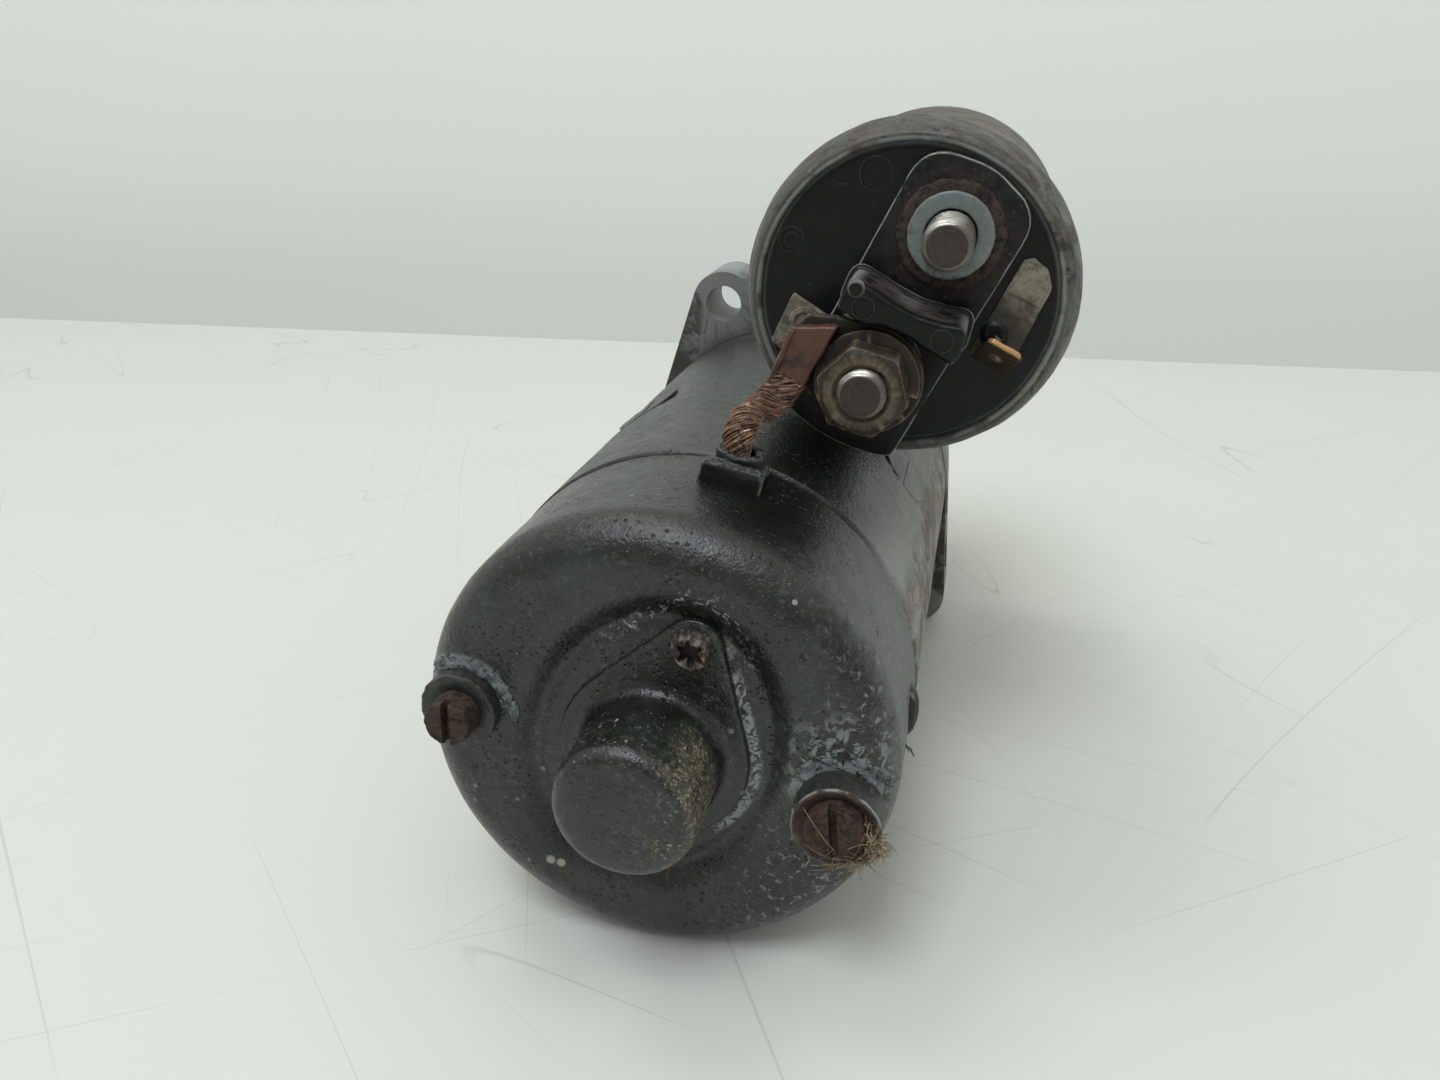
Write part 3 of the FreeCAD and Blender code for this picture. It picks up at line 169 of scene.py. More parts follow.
def rounded(points, radius, steps=4, closed=False):
    """Polyline with its corners rounded; radius is one number or one per point."""
    pts = [np.asarray(p, float) for p in points]
    n = len(pts)
    radii = radius if isinstance(radius, (list, tuple)) else [radius] * n
    out = []
    for i, p in enumerate(pts):
        if not closed and i in (0, n - 1) or radii[i] <= 0:
            out.append(p)
            continue
        a, b = pts[i - 1] - p, pts[(i + 1) % n] - p
        la, lb = np.linalg.norm(a), np.linalg.norm(b)
        a, b = a / la, b / lb
        half = math.acos(float(np.clip(np.dot(a, b), -1, 1))) / 2
        reach = min(radii[i] / math.tan(half), la * 0.49, lb * 0.49)
        for s in range(steps + 1):
            t = s / steps
            out.append(p + a * reach * (1 - t) ** 2 + b * reach * t ** 2)
    return [tuple(q) for q in out]


def ring(radius, y, x=0.0, z=0.0, count=96):
    """Circle across the Y axis; radius is a number or one per point."""
    a = circle(count)
    r = np.broadcast_to(radius, a.shape)
    return np.stack((x + r * np.cos(a), np.broadcast_to(y, a.shape), z + r * np.sin(a)), 1)


def rings_at(x, z, count, pairs):
    """One ring for each (radius, y) pair."""
    return [ring(radius, y, x, z, count) for radius, y in pairs]


def bend(radius, y, size, steps):
    """Quarter round from a face at y to a wall: (radius, y) pairs after the first point."""
    turns = [math.radians(90 * step / steps) for step in range(1, steps + 1)]
    return [(radius + size * math.sin(a), y + size * (1 - math.cos(a))) for a in turns]


def turned(profile, x=0.0, z=0.0, count=96, closed=False):
    """Solid of revolution from (radius, y) points; closed joins the last point to the first."""
    rings = rings_at(x, z, count, [(max(r, 0.001), y) for r, y in profile])
    return loop(rings) if closed else skin(rings)


def outline_normals(outline):
    """Unit directions that point out of a closed (x, z) outline at its points."""
    p = np.asarray(outline, float)
    ahead, behind = np.roll(p, -1, 0) - p, p - np.roll(p, 1, 0)
    t = ahead / (np.linalg.norm(ahead, axis=1, keepdims=True) + 1e-9)
    t = t + behind / (np.linalg.norm(behind, axis=1, keepdims=True) + 1e-9)
    t /= np.linalg.norm(t, axis=1, keepdims=True) + 1e-9
    n = np.stack((t[:, 1], -t[:, 0]), 1)
    area = np.sum(p[:, 0] * np.roll(p[:, 1], -1) - np.roll(p[:, 0], -1) * p[:, 1])
    return n if area > 0 else -n


def slab(outline, front, back, edge=0.6, steps=4, both=False, fill=0):
    """Plate with an (x, z) outline from y=front to y=back, rounded at the front or at both faces.

    fill adds that many inner rings to each face, so that a large face keeps an even mesh.
    """
    p = np.asarray(outline, float)
    n = outline_normals(p)
    sign = 1 if back > front else -1

    def at(inset, y, scale=1.0):
        q = p - n * inset
        q = q.mean(0) + (q - q.mean(0)) * scale
        return np.stack((q[:, 0], np.full(len(q), y), q[:, 1]), 1)

    inner = [(i + 1) / (fill + 1) for i in range(fill)]
    quarter = [math.radians(90 * s / steps) for s in range(steps + 1)]
    rings = [at(edge, front, scale) for scale in inner]
    rings += [at(edge * (1 - math.sin(a)), front + sign * edge * (1 - math.cos(a))) for a in quarter]
    if both:
        rings += [at(edge * (1 - math.cos(a)), back - sign * edge * (1 - math.sin(a))) for a in quarter]
        rings += [at(edge, back, scale) for scale in inner[::-1]]
    else:
        rings.append(at(0, back))
    return skin(rings)


def block(low, high, edge=0.5, steps=3):
    """Box with rounded edges along Y and round its front and back."""
    x0, y0, z0 = low
    x1, y1, z1 = high
    outline = rounded([(x0, z0), (x1, z0), (x1, z1), (x0, z1)], edge, steps, True)
    return slab(outline, y0, y1, edge * 0.8, steps, True)


def moved(part, rotate=None, shift=(0, 0, 0)):
    """Part turned by a 3x3 matrix and shifted."""
    verts, faces = part
    v = np.asarray(verts, float)
    if rotate is not None:
        v = v @ np.asarray(rotate, float).T
    return v + np.asarray(shift, float), faces


def turn_matrix(degrees, axis):
    return np.array(Matrix.Rotation(math.radians(degrees), 3, axis))


# Lays a part built along Y so that its front looks out along +X.
OUTWARDS = turn_matrix(-90, "Z")


def at_angle(part, degrees):
    """Turn a part built at the +X side round the armature axis, towards +Z."""
    return moved(part, turn_matrix(-degrees, "Y"))


def sweep(path, radius, sides):
    """Tube along a path; radius is one number or one per point."""
    p = np.asarray(path, float)
    radii = np.broadcast_to(radius, (len(p),))
    tangent = np.gradient(p, axis=0)
    tangent /= np.linalg.norm(tangent, axis=1, keepdims=True)
    side = np.cross(tangent[0], (0.3, 0.9, 0.2))
    rings = []
    for i in range(len(p)):
        side = side - tangent[i] * np.dot(side, tangent[i])
        side /= np.linalg.norm(side)
        up = np.cross(tangent[i], side)
        a = circle(sides)[:, None]
        rings.append(p[i] + radii[i] * (np.cos(a) * side + np.sin(a) * up))
    return skin(rings)


THREAD_PITCH = 1.25
THREAD_DEPTH = 0.42


def thread(radius, tip, root, x, z):
    """Stud that points backwards: helical ridges, a bevelled tip and a plain core."""
    count = 40
    bevel = 0.35
    length = root - tip
    pairs = [(0.6 * radius, tip + 0.18), (radius - 0.9, tip)]
    steps = int(length / THREAD_PITCH * 8)
    for i in range(steps + 1):
        d = bevel + (length - bevel) * i / steps
        phase = (d / THREAD_PITCH - circle(count) / (2 * math.pi)) % 1.0
        ridge = np.abs(phase - 0.5) * 2
        r = radius - THREAD_DEPTH * np.clip(ridge * 1.25, 0, 1) ** 1.3
        pairs.append((np.minimum(r, radius - 0.75 + d * 0.8), tip + d))
    return skin(rings_at(x, z, count, pairs))


def fuzz(points, size, seed=0.0):
    """Noise between about -1 and 1 at each point, for a feature size in millimetres."""
    shift = Vector((seed * 7.3, seed * 3.1, seed * 5.7))
    return np.array([noise.noise(Vector(p) / size + shift) for p in np.asarray(points, float)])


def wear(part, amount, size, seed=0.0, octaves=2):
    """Push a part's surface in and out a little, so that no edge stays perfect."""
    verts, faces = part
    v = np.array(verts, float)
    for octave in range(octaves):
        scale = size / 2 ** octave
        push = np.stack([fuzz(v, scale, seed + 11.0 * k + octave) for k in range(3)], 1)
        v += push * amount / 2 ** octave
    return v, faces


def new_object(name, verts, faces):
    mesh = bpy.data.meshes.new(name)
    mesh.from_pydata(verts, [], faces)
    obj = bpy.data.objects.new(name, mesh)
    bpy.context.scene.collection.objects.link(obj)
    return obj


def solid_object(name, part, merge, thin=None):
    """Object from a part, with doubled points merged and its faces turned outwards."""
    verts, faces = part
    obj = new_object(name, row(verts).tolist(), [list(f) for f in faces])
    work = bmesh.new()
    work.from_mesh(obj.data)
    bmesh.ops.remove_doubles(work, verts=work.verts, dist=merge)
    if thin:
        bmesh.ops.dissolve_degenerate(work, edges=work.edges, dist=thin)
    bmesh.ops.recalc_face_normals(work, faces=work.faces)
    work.to_mesh(obj.data)
    work.free()
    return obj


def shade(mesh, sharp=38):
    mesh.shade_smooth()
    mesh.set_sharp_from_angle(angle=math.radians(sharp))


def piece(name, part, slot, replaces=(), sharp=38, look=None):
    """Make a piece that rides on the casing, with its slot's material unless look is given."""
    obj = solid_object(name, part, 2e-6, 1e-7)
    shade(obj.data, sharp)
    obj.data.materials.append(look or LOOKS[slot])
    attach(obj, "root")
    if replaces:
        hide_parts(*replaces)
    return obj


def mark(obj, name, function):
    """Store a number per vertex, worked out from its upright x, y and z in millimetres."""
    count = len(obj.data.vertices)
    flat = np.empty(count * 3)
    obj.data.vertices.foreach_get("co", flat)
    place = flat.reshape(-1, 3) * 1000
    x = place[:, 0] * math.cos(LEAN) - place[:, 2] * math.sin(LEAN)
    z = place[:, 0] * math.sin(LEAN) + place[:, 2] * math.cos(LEAN)
    values = obj.data.attributes.new(name, "FLOAT", "POINT")
    values.data.foreach_set("value", np.asarray(function(x, place[:, 1], z), np.float32))


# ---- materials ----
def add_node(tree, kind, inputs, **settings):
    """Shader node with its settings; an input is a value or another node's output."""
    made = tree.nodes.new("ShaderNode" + kind)
    for key, value in settings.items():
        setattr(made, key, value)
    for key, value in inputs.items():
        if isinstance(value, bpy.types.NodeSocket):
            tree.links.new(value, made.inputs[key])
        else:
            made.inputs[key].default_value = value
    return made


class Look:
    """A layered procedural material in object coordinates, in millimetres of the row frame."""

    def __init__(self, name, color, rough, metal=0.0, specular=0.5):
        self.material = bpy.data.materials.new(name)
        self.material.use_nodes = True
        self.tree = self.material.node_tree
        self.tree.nodes.clear()
        self.mm = self.vector("SCALE", self.node("TexCoord", {}).outputs["Object"], scale=1000.0)
        self.color = (*color, 1.0)
        self.rough = rough
        self.metal = metal
        self.specular = specular
        self.height = None
        self.glow = 0.0

    def node(self, kind, inputs, **settings):
        return add_node(self.tree, kind, inputs, **settings)

    def vector(self, operation, a, b=None, c=None, scale=None):
        inputs = {0: a}
        if b is not None:
            inputs[1] = b
        if c is not None:
            inputs[2] = c
        if scale is not None:
            inputs["Scale"] = scale
        return self.node("VectorMath", inputs, operation=operation).outputs["Vector"]

    def math(self, operation, a, b=0.0, clamp=False):
        return self.node("Math", {0: a, 1: b}, operation=operation, use_clamp=clamp).outputs[0]

    def mul(self, *values):
        result = values[0]
        for value in values[1:]:
            result = self.math("MULTIPLY", result, value)
        return result

    def add(self, a, b):
        return self.math("ADD", a, b)

    def inverse(self, value):
        return self.math("SUBTRACT", 1.0, value)

    def noise(self, size, detail=4.0, rough=0.55, twist=0.0, seed=0.0, stretch=(1, 1, 1)):
        spread = tuple(s / size for s in stretch)
        place = self.vector("MULTIPLY_ADD", self.mm, spread, (seed * 13.7, seed * 5.1, seed * 9.3))
        inputs = {"Vector": place, "Scale": 1.0, "Detail": detail, "Roughness": rough, "Distortion": twist}
        return self.node("TexNoise", inputs).outputs[0]

    def cells(self, size, seed):
        spread = (1 / size, 1 / size, 1 / size)
        place = self.vector("MULTIPLY_ADD", self.mm, spread, (seed * 3.7, seed * 8.1, seed * 6.3))
        return self.node("TexVoronoi", {"Vector": place, "Scale": 1.0}).outputs["Distance"]

    def ramp(self, value, low, high):
        inputs = {"Value": value, "From Min": low, "From Max": high}
        return self.node("MapRange", inputs, interpolation_type="SMOOTHSTEP", clamp=True).outputs[0]

    def patch(self, low, high, *noise_settings, **more):
        """Soft-edged patches of noise: 0 below low, 1 above high."""
        return self.ramp(self.noise(*noise_settings, **more), low, high)

    def distance(self, point):
        """Distance in millimetres from a point given in the upright frame."""
        place = tuple(row([point])[0] * 1000)
        return self.node("VectorMath", {0: self.mm, 1: place}, operation="DISTANCE").outputs["Value"]

    def near(self, point, full, none):
        return self.ramp(self.distance(point), none, full)

    def along(self, direction):
        """Position along an upright-frame direction, in millimetres."""
        d = row([direction])[0] * 1000
        d = tuple(d / np.linalg.norm(d))
        return self.node("VectorMath", {0: self.mm, 1: d}, operation="DOT_PRODUCT").outputs["Value"]

    def off_axis(self, x, z):
        """Distance from a line along Y through (x, z) in the upright frame."""
        flat = self.vector("MULTIPLY", self.mm, (1, 0, 1))
        place = row([(x, 0, z)])[0] * 1000
        return self.node("VectorMath", {0: flat, 1: tuple(place)}, operation="DISTANCE").outputs["Value"]

    def depth(self, low, high):
        """From 0 at y=low to 1 at y=high."""
        return self.ramp(self.along((0, 1, 0)), low, high)

    def slope(self, direction, low, high):
        return self.ramp(self.along(direction), low, high)

    def disc(self, x, z, low, high):
        return self.ramp(self.off_axis(x, z), low, high)

    def facing(self, direction, low, high):
        """1 where the surface looks along a row-frame direction."""
        normal = self.node("NewGeometry", {}).outputs["Normal"]
        dot = self.node("VectorMath", {0: normal, 1: direction}, operation="DOT_PRODUCT").outputs["Value"]
        return self.ramp(dot, low, high)

    def stored(self, name):
        """A number that mark() stored on the mesh."""
        return self.node("Attribute", {}, attribute_name=name).outputs["Fac"]

    def edge(self, low, high):
        """1 on a sharp outer edge."""
        return self.ramp(self.node("NewGeometry", {}).outputs["Pointiness"], low, high)

    def crevice_shade(self, distance_mm):
        """Painted shade from ambient occlusion: 1 deep in narrow crevices or beside a neighbour."""
        inputs = {"Distance": distance_mm / 1000}
        return self.ramp(self.node("AmbientOcclusion", inputs, samples=6).outputs["AO"], 0.75, 0.35)

    def layer(self, mask, color, rough=None, metal=None):
        """Lay a colour over what is there; several masks are multiplied."""
        if isinstance(mask, tuple):
            mask = self.mul(*mask)
        mix = self.node("Mix", {0: mask, 6: self.color, 7: (*color, 1.0)}, data_type="RGBA")
        self.color = mix.outputs[2]
        if rough is not None:
            self.rough = self.node("Mix", {0: mask, 2: self.rough, 3: rough}).outputs[0]
        if metal is not None:
            self.metal = self.node("Mix", {0: mask, 2: self.metal, 3: metal}).outputs[0]

    def tint(self, value, low, high):
        """Multiply the colour by a grey between low and high as value goes from 0 to 1."""
        grey = self.node("MapRange", {"Value": value, "To Min": low, "To Max": high}).outputs[0]
        color = self.color[:3] if isinstance(self.color, tuple) else self.color
        self.color = self.vector("SCALE", color, scale=grey)

    def relief(self, value, height_mm):
        """Add to the bump height."""
        step = self.mul(value, height_mm)
        self.height = step if self.height is None else self.add(self.height, step)

    def bumps(self, height_mm, *noise_settings, **more):
        self.relief(self.noise(*noise_settings, **more), height_mm)

    def vary_rough(self, value, amount):
        """Make the surface glossier and duller by turns."""
        shift = self.mul(self.math("SUBTRACT", value, 0.5), amount)
        self.rough = self.math("ADD", self.rough, shift, clamp=True)

    def done(self):
        """Build the surface shader and hand over the material."""
        surface = self.node("BsdfPrincipled", {
            "Base Color": self.color, "Roughness": self.rough, "Metallic": self.metal,
            "Specular IOR Level": self.specular,
        })
        if self.glow:
            self.tree.links.new(self.color, surface.inputs["Emission Color"])
            surface.inputs["Emission Strength"].default_value = self.glow
        if self.height is not None:
            bump = self.node("Bump", {"Height": self.height, "Distance": 0.001, "Strength": 1.0})
            self.tree.links.new(bump.outputs[0], surface.inputs["Normal"])
        self.node("OutputMaterial", {"Surface": surface.outputs[0]})
        return self.material


def black_paint(name, dust=0.5, chips=0.5, base=(0.0062, 0.0080, 0.0068), rough=0.25):
    """Glossy black paint: orange peel, open pits, a film of dust and small pale chips."""
    look = Look(name, base, rough, specular=0.62)
    broad = look.noise(20, 5, 0.6, 0.3)
    look.layer((look.ramp(broad, 0.38, 0.68), dust), (0.031, 0.040, 0.032), rough + 0.15)
    film = look.patch(0.50, 0.66, 1.1, 5, 0.75, seed=15)
    look.layer((film, look.patch(0.36, 0.60, 11, 4, 0.6, seed=16), 0.6), (0.078, 0.088, 0.078), rough + 0.2)
    look.tint(look.noise(0.8, 6, 0.8, seed=2), 0.30, 1.75)
    look.vary_rough(look.noise(3.0, 6, 0.7, seed=3), 0.40)
    pits = look.ramp(look.cells(1.25, seed=12), 0.30, 0.10)
    pits = look.mul(pits, look.patch(0.44, 0.60, 8, 3, 0.6, seed=13))
    look.layer((pits, 0.8), (0.003, 0.0035, 0.003), 0.6)
    speck = look.patch(0.69, 0.74, 0.75, 3, 0.6, seed=4)
    zone = look.patch(0.44, 0.62, 16, 3, 0.5, seed=5)
    look.layer((speck, zone, chips), (0.26, 0.285, 0.275), 0.7)
    spots = look.ramp(look.cells(6.5, seed=6), 0.085, 0.055)
    look.layer((spots, look.patch(0.48, 0.56, 30, 2, 0.5, seed=7), chips), (0.22, 0.235, 0.22), 0.7)
    look.bumps(0.105, 0.5, 3, 0.65, seed=9)
    look.bumps(0.16, 1.7, 4, 0.65, seed=14)
    look.bumps(0.14, 4.5, 3, 0.6, seed=10)
    look.relief(pits, -0.22)
    return look


def metal(name, color, rough, grime=0.4, grain=1.0, metallic=1.0):
    """Bare metal with grime and a fine uneven finish."""
    look = Look(name, color, rough, metallic)
    look.tint(look.noise(1.4, 6, 0.7, seed=1), 0.78, 1.2)
    stain = look.patch(0.44, 0.70, 6, 6, 0.65, 0.4, seed=2)
    look.layer((stain, grime), (0.05, 0.045, 0.04), 0.75, 0.25)
    look.vary_rough(look.noise(2.2, 5, 0.7, seed=3), 0.3)
    look.bumps(0.03 * grain, 0.5, 4, 0.65, seed=4)
    look.bumps(0.04 * grain, 2.4, 3, 0.6, seed=5)
    return look.done()


def rust(name, base=(0.066, 0.042, 0.031), dark=(0.018, 0.013, 0.010), light=(0.20, 0.150, 0.115)):
    """Rusted steel: dark pits, brown body, a few pale flakes."""
    look = Look(name, base, 0.86, 0.0, 0.3)
    look.layer(look.patch(0.44, 0.62, 1.6, 6, 0.7, 0.6, seed=1), dark, 0.8)
    look.layer((look.patch(0.60, 0.72, 0.9, 5, 0.7, seed=2), 0.7), light, 0.9)
    look.bumps(0.16, 0.6, 5, 0.75, seed=3)
    look.bumps(0.22, 1.9, 4, 0.7, 0.8, seed=4)
    return look.done()


def flaked_rings(look):
    """Silver-grey paint flakes above both bolt washers."""
    for angle, full in zip(BOLT_ANGLES, (1.0, 0.75)):
        x, z = polar(BOLT_CIRCLE, angle)
        band = look.mul(look.disc(x, z, 9.4, 8.2), look.disc(x, z, 5.6, 6.3))
        centre = UP[0] * x + UP[2] * z
        above = look.slope(UP, centre + 0.5, centre + 3.4)
        torn = look.patch(0.44, 0.50, 2.1, 5, 0.7, 0.8, seed=21)
        look.layer((band, above, torn, full), (0.22, 0.25, 0.25), 0.62)


def end_cap_look():
    """Cap: flecks and grey flakes on the right, a painted reflection on its right-facing side, torn paint
    beside the plate, painted shade with a glossy film of oil by the lead.
    """
    look = black_paint("end_cap_paint", dust=0.6, chips=0.75)
    rear = look.depth(CAP_FACE + 7, CAP_FACE + 3)
    right = look.slope((1, 0, 0.15), 14, 34)
    fleck = look.patch(0.575, 0.625, 1.25, 4, 0.65, 0.5, seed=31)
    look.layer((right, fleck, 0.85), (0.26, 0.285, 0.27), 0.7)
    x, z = polar(BOLT_CIRCLE, 30)
    right_bolt = look.near((x, CAP_FACE, z), 4.0, 13.0)
    patch = look.patch(0.52, 0.57, 2.4, 5, 0.7, 0.6, seed=32)
    look.layer((right_bolt, patch, 0.9), (0.25, 0.275, 0.265), 0.7)
    flaked_rings(look)
    gap, lit = look.stored("plate_gap"), look.stored("plate_side")
    torn = look.patch(0.47, 0.52, 1.5, 5, 0.7, 0.9, seed=23)
    band = look.mul(look.ramp(gap, 2.3, 1.5), look.ramp(gap, 0.0, 0.35), lit)
    look.layer((band, torn, rear), (0.27, 0.295, 0.285), 0.62)
    wall = look.mul(look.ramp(gap, 2.4, 3.4), look.ramp(gap, 6.4, 5.0), look.stored("pocket_top"))
    torn = look.patch(0.565, 0.60, 1.15, 5, 0.7, 0.9, seed=24)
    look.layer((wall, torn, rear), (0.25, 0.28, 0.275), 0.62)
    # Painted reflection: the side facing +X is lightened to grey, for the table and wall it faces.
    right_flank_reflection = look.facing((1.0, 0.1, 0.1), 0.45, 0.95)
    look.layer((right_flank_reflection, look.patch(0.35, 0.62, 5, 6, 0.7, 0.4, seed=34), 0.75), (0.115, 0.125, 0.115), 0.5)
    spots = (
        (-5.1, -149.6, -29.4, 1.0, 1.0), (-3.3, -149.6, -29.0, 0.9, 1.0), (-13.8, -148.6, -15.0, 0.9, 0.4),
        (-35.4, -146.9, 9.0, 1.3, 0.5), (7.2, -148.7, 36.0, 0.45, 0.6), (16.7, -146.8, -30.4, 1.0, 0.4),
    )
    for x, y, z, size, warm in spots:
        ragged = look.patch(0.28, 0.44, 0.9, 4, 0.7, seed=35)
        color = (0.27 + 0.04 * warm, 0.285, 0.275 - 0.05 * warm)
        look.layer((look.near((x, y, z), size * 0.75, size * 1.1), ragged), color, 0.7)
    # Painted shade: nearly black under the solenoid by the lead, with the low roughness of a film of oil.
    shade_and_oil = look.near((-4.0, -128.0, 41.0), 9.0, 24.0)
    look.layer((shade_and_oil, 0.8), (0.0045, 0.0055, 0.005), 0.30)
    lip = look.mul(look.depth(SEAM - 1.3, SEAM - 0.8), look.patch(0.40, 0.52, 6, 4, 0.6, seed=36))
    block_x, block_z = polar(40, GROMMET_ANGLE)
    clear = look.inverse(look.near((block_x, SEAM - 1, block_z), 12, 18))
    look.layer((lip, clear, 0.6), (0.17, 0.178, 0.165), 0.5)
    look.bumps(0.06, 0.8, 2, 0.5, seed=33)
    return look.done()


def bearing_look():
    """Bearing cap: dry yellowish dirt down the right of its wall, pale flecks."""
    look = black_paint("bearing_cap_paint", dust=0.45, chips=0.9, base=(0.0062, 0.0080, 0.0070), rough=0.24)
    right = look.slope((1, 0, -0.10), -1.5, 6.5)
    wall = look.disc(DOME_X, 0, 9.7, 10.7)
    wall = look.mul(wall, look.disc(DOME_X, 0, 13.5, 12.0))
    rear = look.depth(CAP_FACE - 1.0, CAP_FACE - 5)
    patch = look.patch(0.34, 0.58, 3.6, 6, 0.7, 0.6, seed=41)
    look.layer((right, wall, rear, patch, 0.85), (0.085, 0.074, 0.040), 0.85)
    grit = look.patch(0.52, 0.60, 0.75, 4, 0.7, seed=42)
    look.layer((right, wall, rear, grit), (0.25, 0.215, 0.125), 0.9)
    fleck = look.patch(0.64, 0.69, 0.8, 3, 0.6, seed=43, stretch=(1, 0.6, 1))
    look.layer((rear, wall, fleck, 0.9), (0.30, 0.31, 0.29), 0.7)
    front = look.depth(DOME_END + 2, DOME_END + 0.8)
    edge_grit = look.mul(front, look.slope((1, 0, 0.45), 3.0, 9.5))
    look.layer((edge_grit, look.patch(0.58, 0.64, 0.9, 4, 0.7, seed=44)), (0.27, 0.25, 0.17), 0.8)
    return look.done()


def yoke_look():
    """Yoke: painted shade with a glossy film of oil above, under the solenoid; chalky grey with rust and bare
    flakes down the right side, made paler there as painted light; pale marks on top that are partly a painted
    reflection.
    """
    look = black_paint("yoke_paint", dust=0.75, chips=0.45, base=(0.018, 0.021, 0.019), rough=0.33)
    side = look.along((0.97, 0, 0.25))
    # Painted shade: nearly black under the solenoid, with the low roughness of a film of oil.
    shade_and_oil = look.near((6.0, -104.0, 40.0), 10.0, 30.0)
    look.layer((shade_and_oil, 0.85), (0.0045, 0.0052, 0.0048), 0.30)
    # Partly painted light: the chalky grey and the bare flakes down the right side are paler than their own
    # colour, standing in for light falling on that side.
    chalk_and_painted_light = look.ramp(side, 20, 30)
    cloud = look.patch(0.32, 0.52, 10, 5, 0.6, 0.3, seed=55, stretch=(1, 0.5, 1))
    look.layer((chalk_and_painted_light, cloud, 0.9), (0.285, 0.295, 0.275), 0.55)
    band = look.ramp(side, 27, 36)
    patch = look.patch(0.42, 0.54, 13, 6, 0.65, 0.5, seed=51, stretch=(1, 0.6, 1))
    look.layer((band, patch, 0.9), (0.155, 0.108, 0.090), 0.75)
    flake = look.patch(0.50, 0.64, 6, 6, 0.75, 0.6, seed=52, stretch=(1, 0.7, 1))
    look.layer((band, flake, 0.85), (0.36, 0.35, 0.315), 0.7)
    look.layer((band, look.patch(0.60, 0.66, 3.4, 6, 0.7, 0.6, seed=53)),
               (0.050, 0.026, 0.018), 0.85)
    # Partly painted reflection: pale marks on the upper side stand in for the bright surroundings above as
    # well as for scuffs.
    top = look.slope((0.3, 0, 0.95), 30, 38)
    scuff_and_sheen = look.patch(0.50, 0.62, 6, 6, 0.7, 0.5, seed=54, stretch=(1, 0.45, 1))
    look.layer((top, scuff_and_sheen, look.inverse(shade_and_oil), 0.75), (0.21, 0.22, 0.208), 0.55)
    return look.done()


def can_look():
    """Drawn can: dark scuffed rim with a lip of rubbed metal and a painted highlight, pale wear patches
    higher up that are partly a painted reflection, dusty reddish brown body.
    """
    look = Look("can_steel", (0.082, 0.078, 0.068), 0.48, 0.3)
    forward = look.depth(SOL_REAR + 9, SOL_REAR + 13)
    look.layer(forward, (0.105, 0.087, 0.068), 0.60)
    look.tint(look.noise(1.2, 6, 0.75, seed=61), 0.45, 1.55)
    # Partly painted reflection: pale wear patches on the upper part, lightened where the bright surroundings
    # above would reflect.
    up = look.slope((0.42, 0, 0.91), SOL_HEIGHT + 4, SOL_HEIGHT + 25)
    worn_and_sheen = look.patch(0.42, 0.60, 5, 6, 0.7, 0.7, seed=68, stretch=(1, 2.0, 1))
    look.layer((up, worn_and_sheen, 0.85), (0.185, 0.183, 0.168), 0.46)
    brown = look.patch(0.47, 0.62, 7, 6, 0.7, 0.5, seed=62)
    look.layer((brown, 0.75), (0.092, 0.064, 0.047), 0.7)
    black = look.patch(0.53, 0.62, 5, 6, 0.75, 0.9, seed=63, stretch=(1, 1.6, 1))
    look.layer((black, 0.9), (0.014, 0.014, 0.013), 0.55, 0.0)
    pale = look.patch(0.61, 0.70, 3, 6, 0.75, 0.6, seed=64, stretch=(1, 2.5, 1))
    look.layer((pale, 0.7), (0.24, 0.235, 0.215), 0.6)
    # Pale line round the inner lip: rubbed metal and a painted highlight along the lip's edge.
    lip = look.disc(0, SOL_HEIGHT, SOL_BORE + 0.9, SOL_BORE + 0.45)
    front = look.depth(SOL_REAR + 0.8, SOL_REAR + 0.2)
    look.layer((lip, front, look.patch(0.36, 0.52, 6, 4, 0.6, seed=69)), (0.24, 0.24, 0.225), 0.45, 0.4)
    look.vary_rough(look.noise(3, 5, 0.7, seed=65), 0.35)
    look.bumps(0.06, 0.7, 4, 0.7, seed=66)
    look.bumps(0.10, 3.5, 4, 0.6, seed=67)
    return look.done()


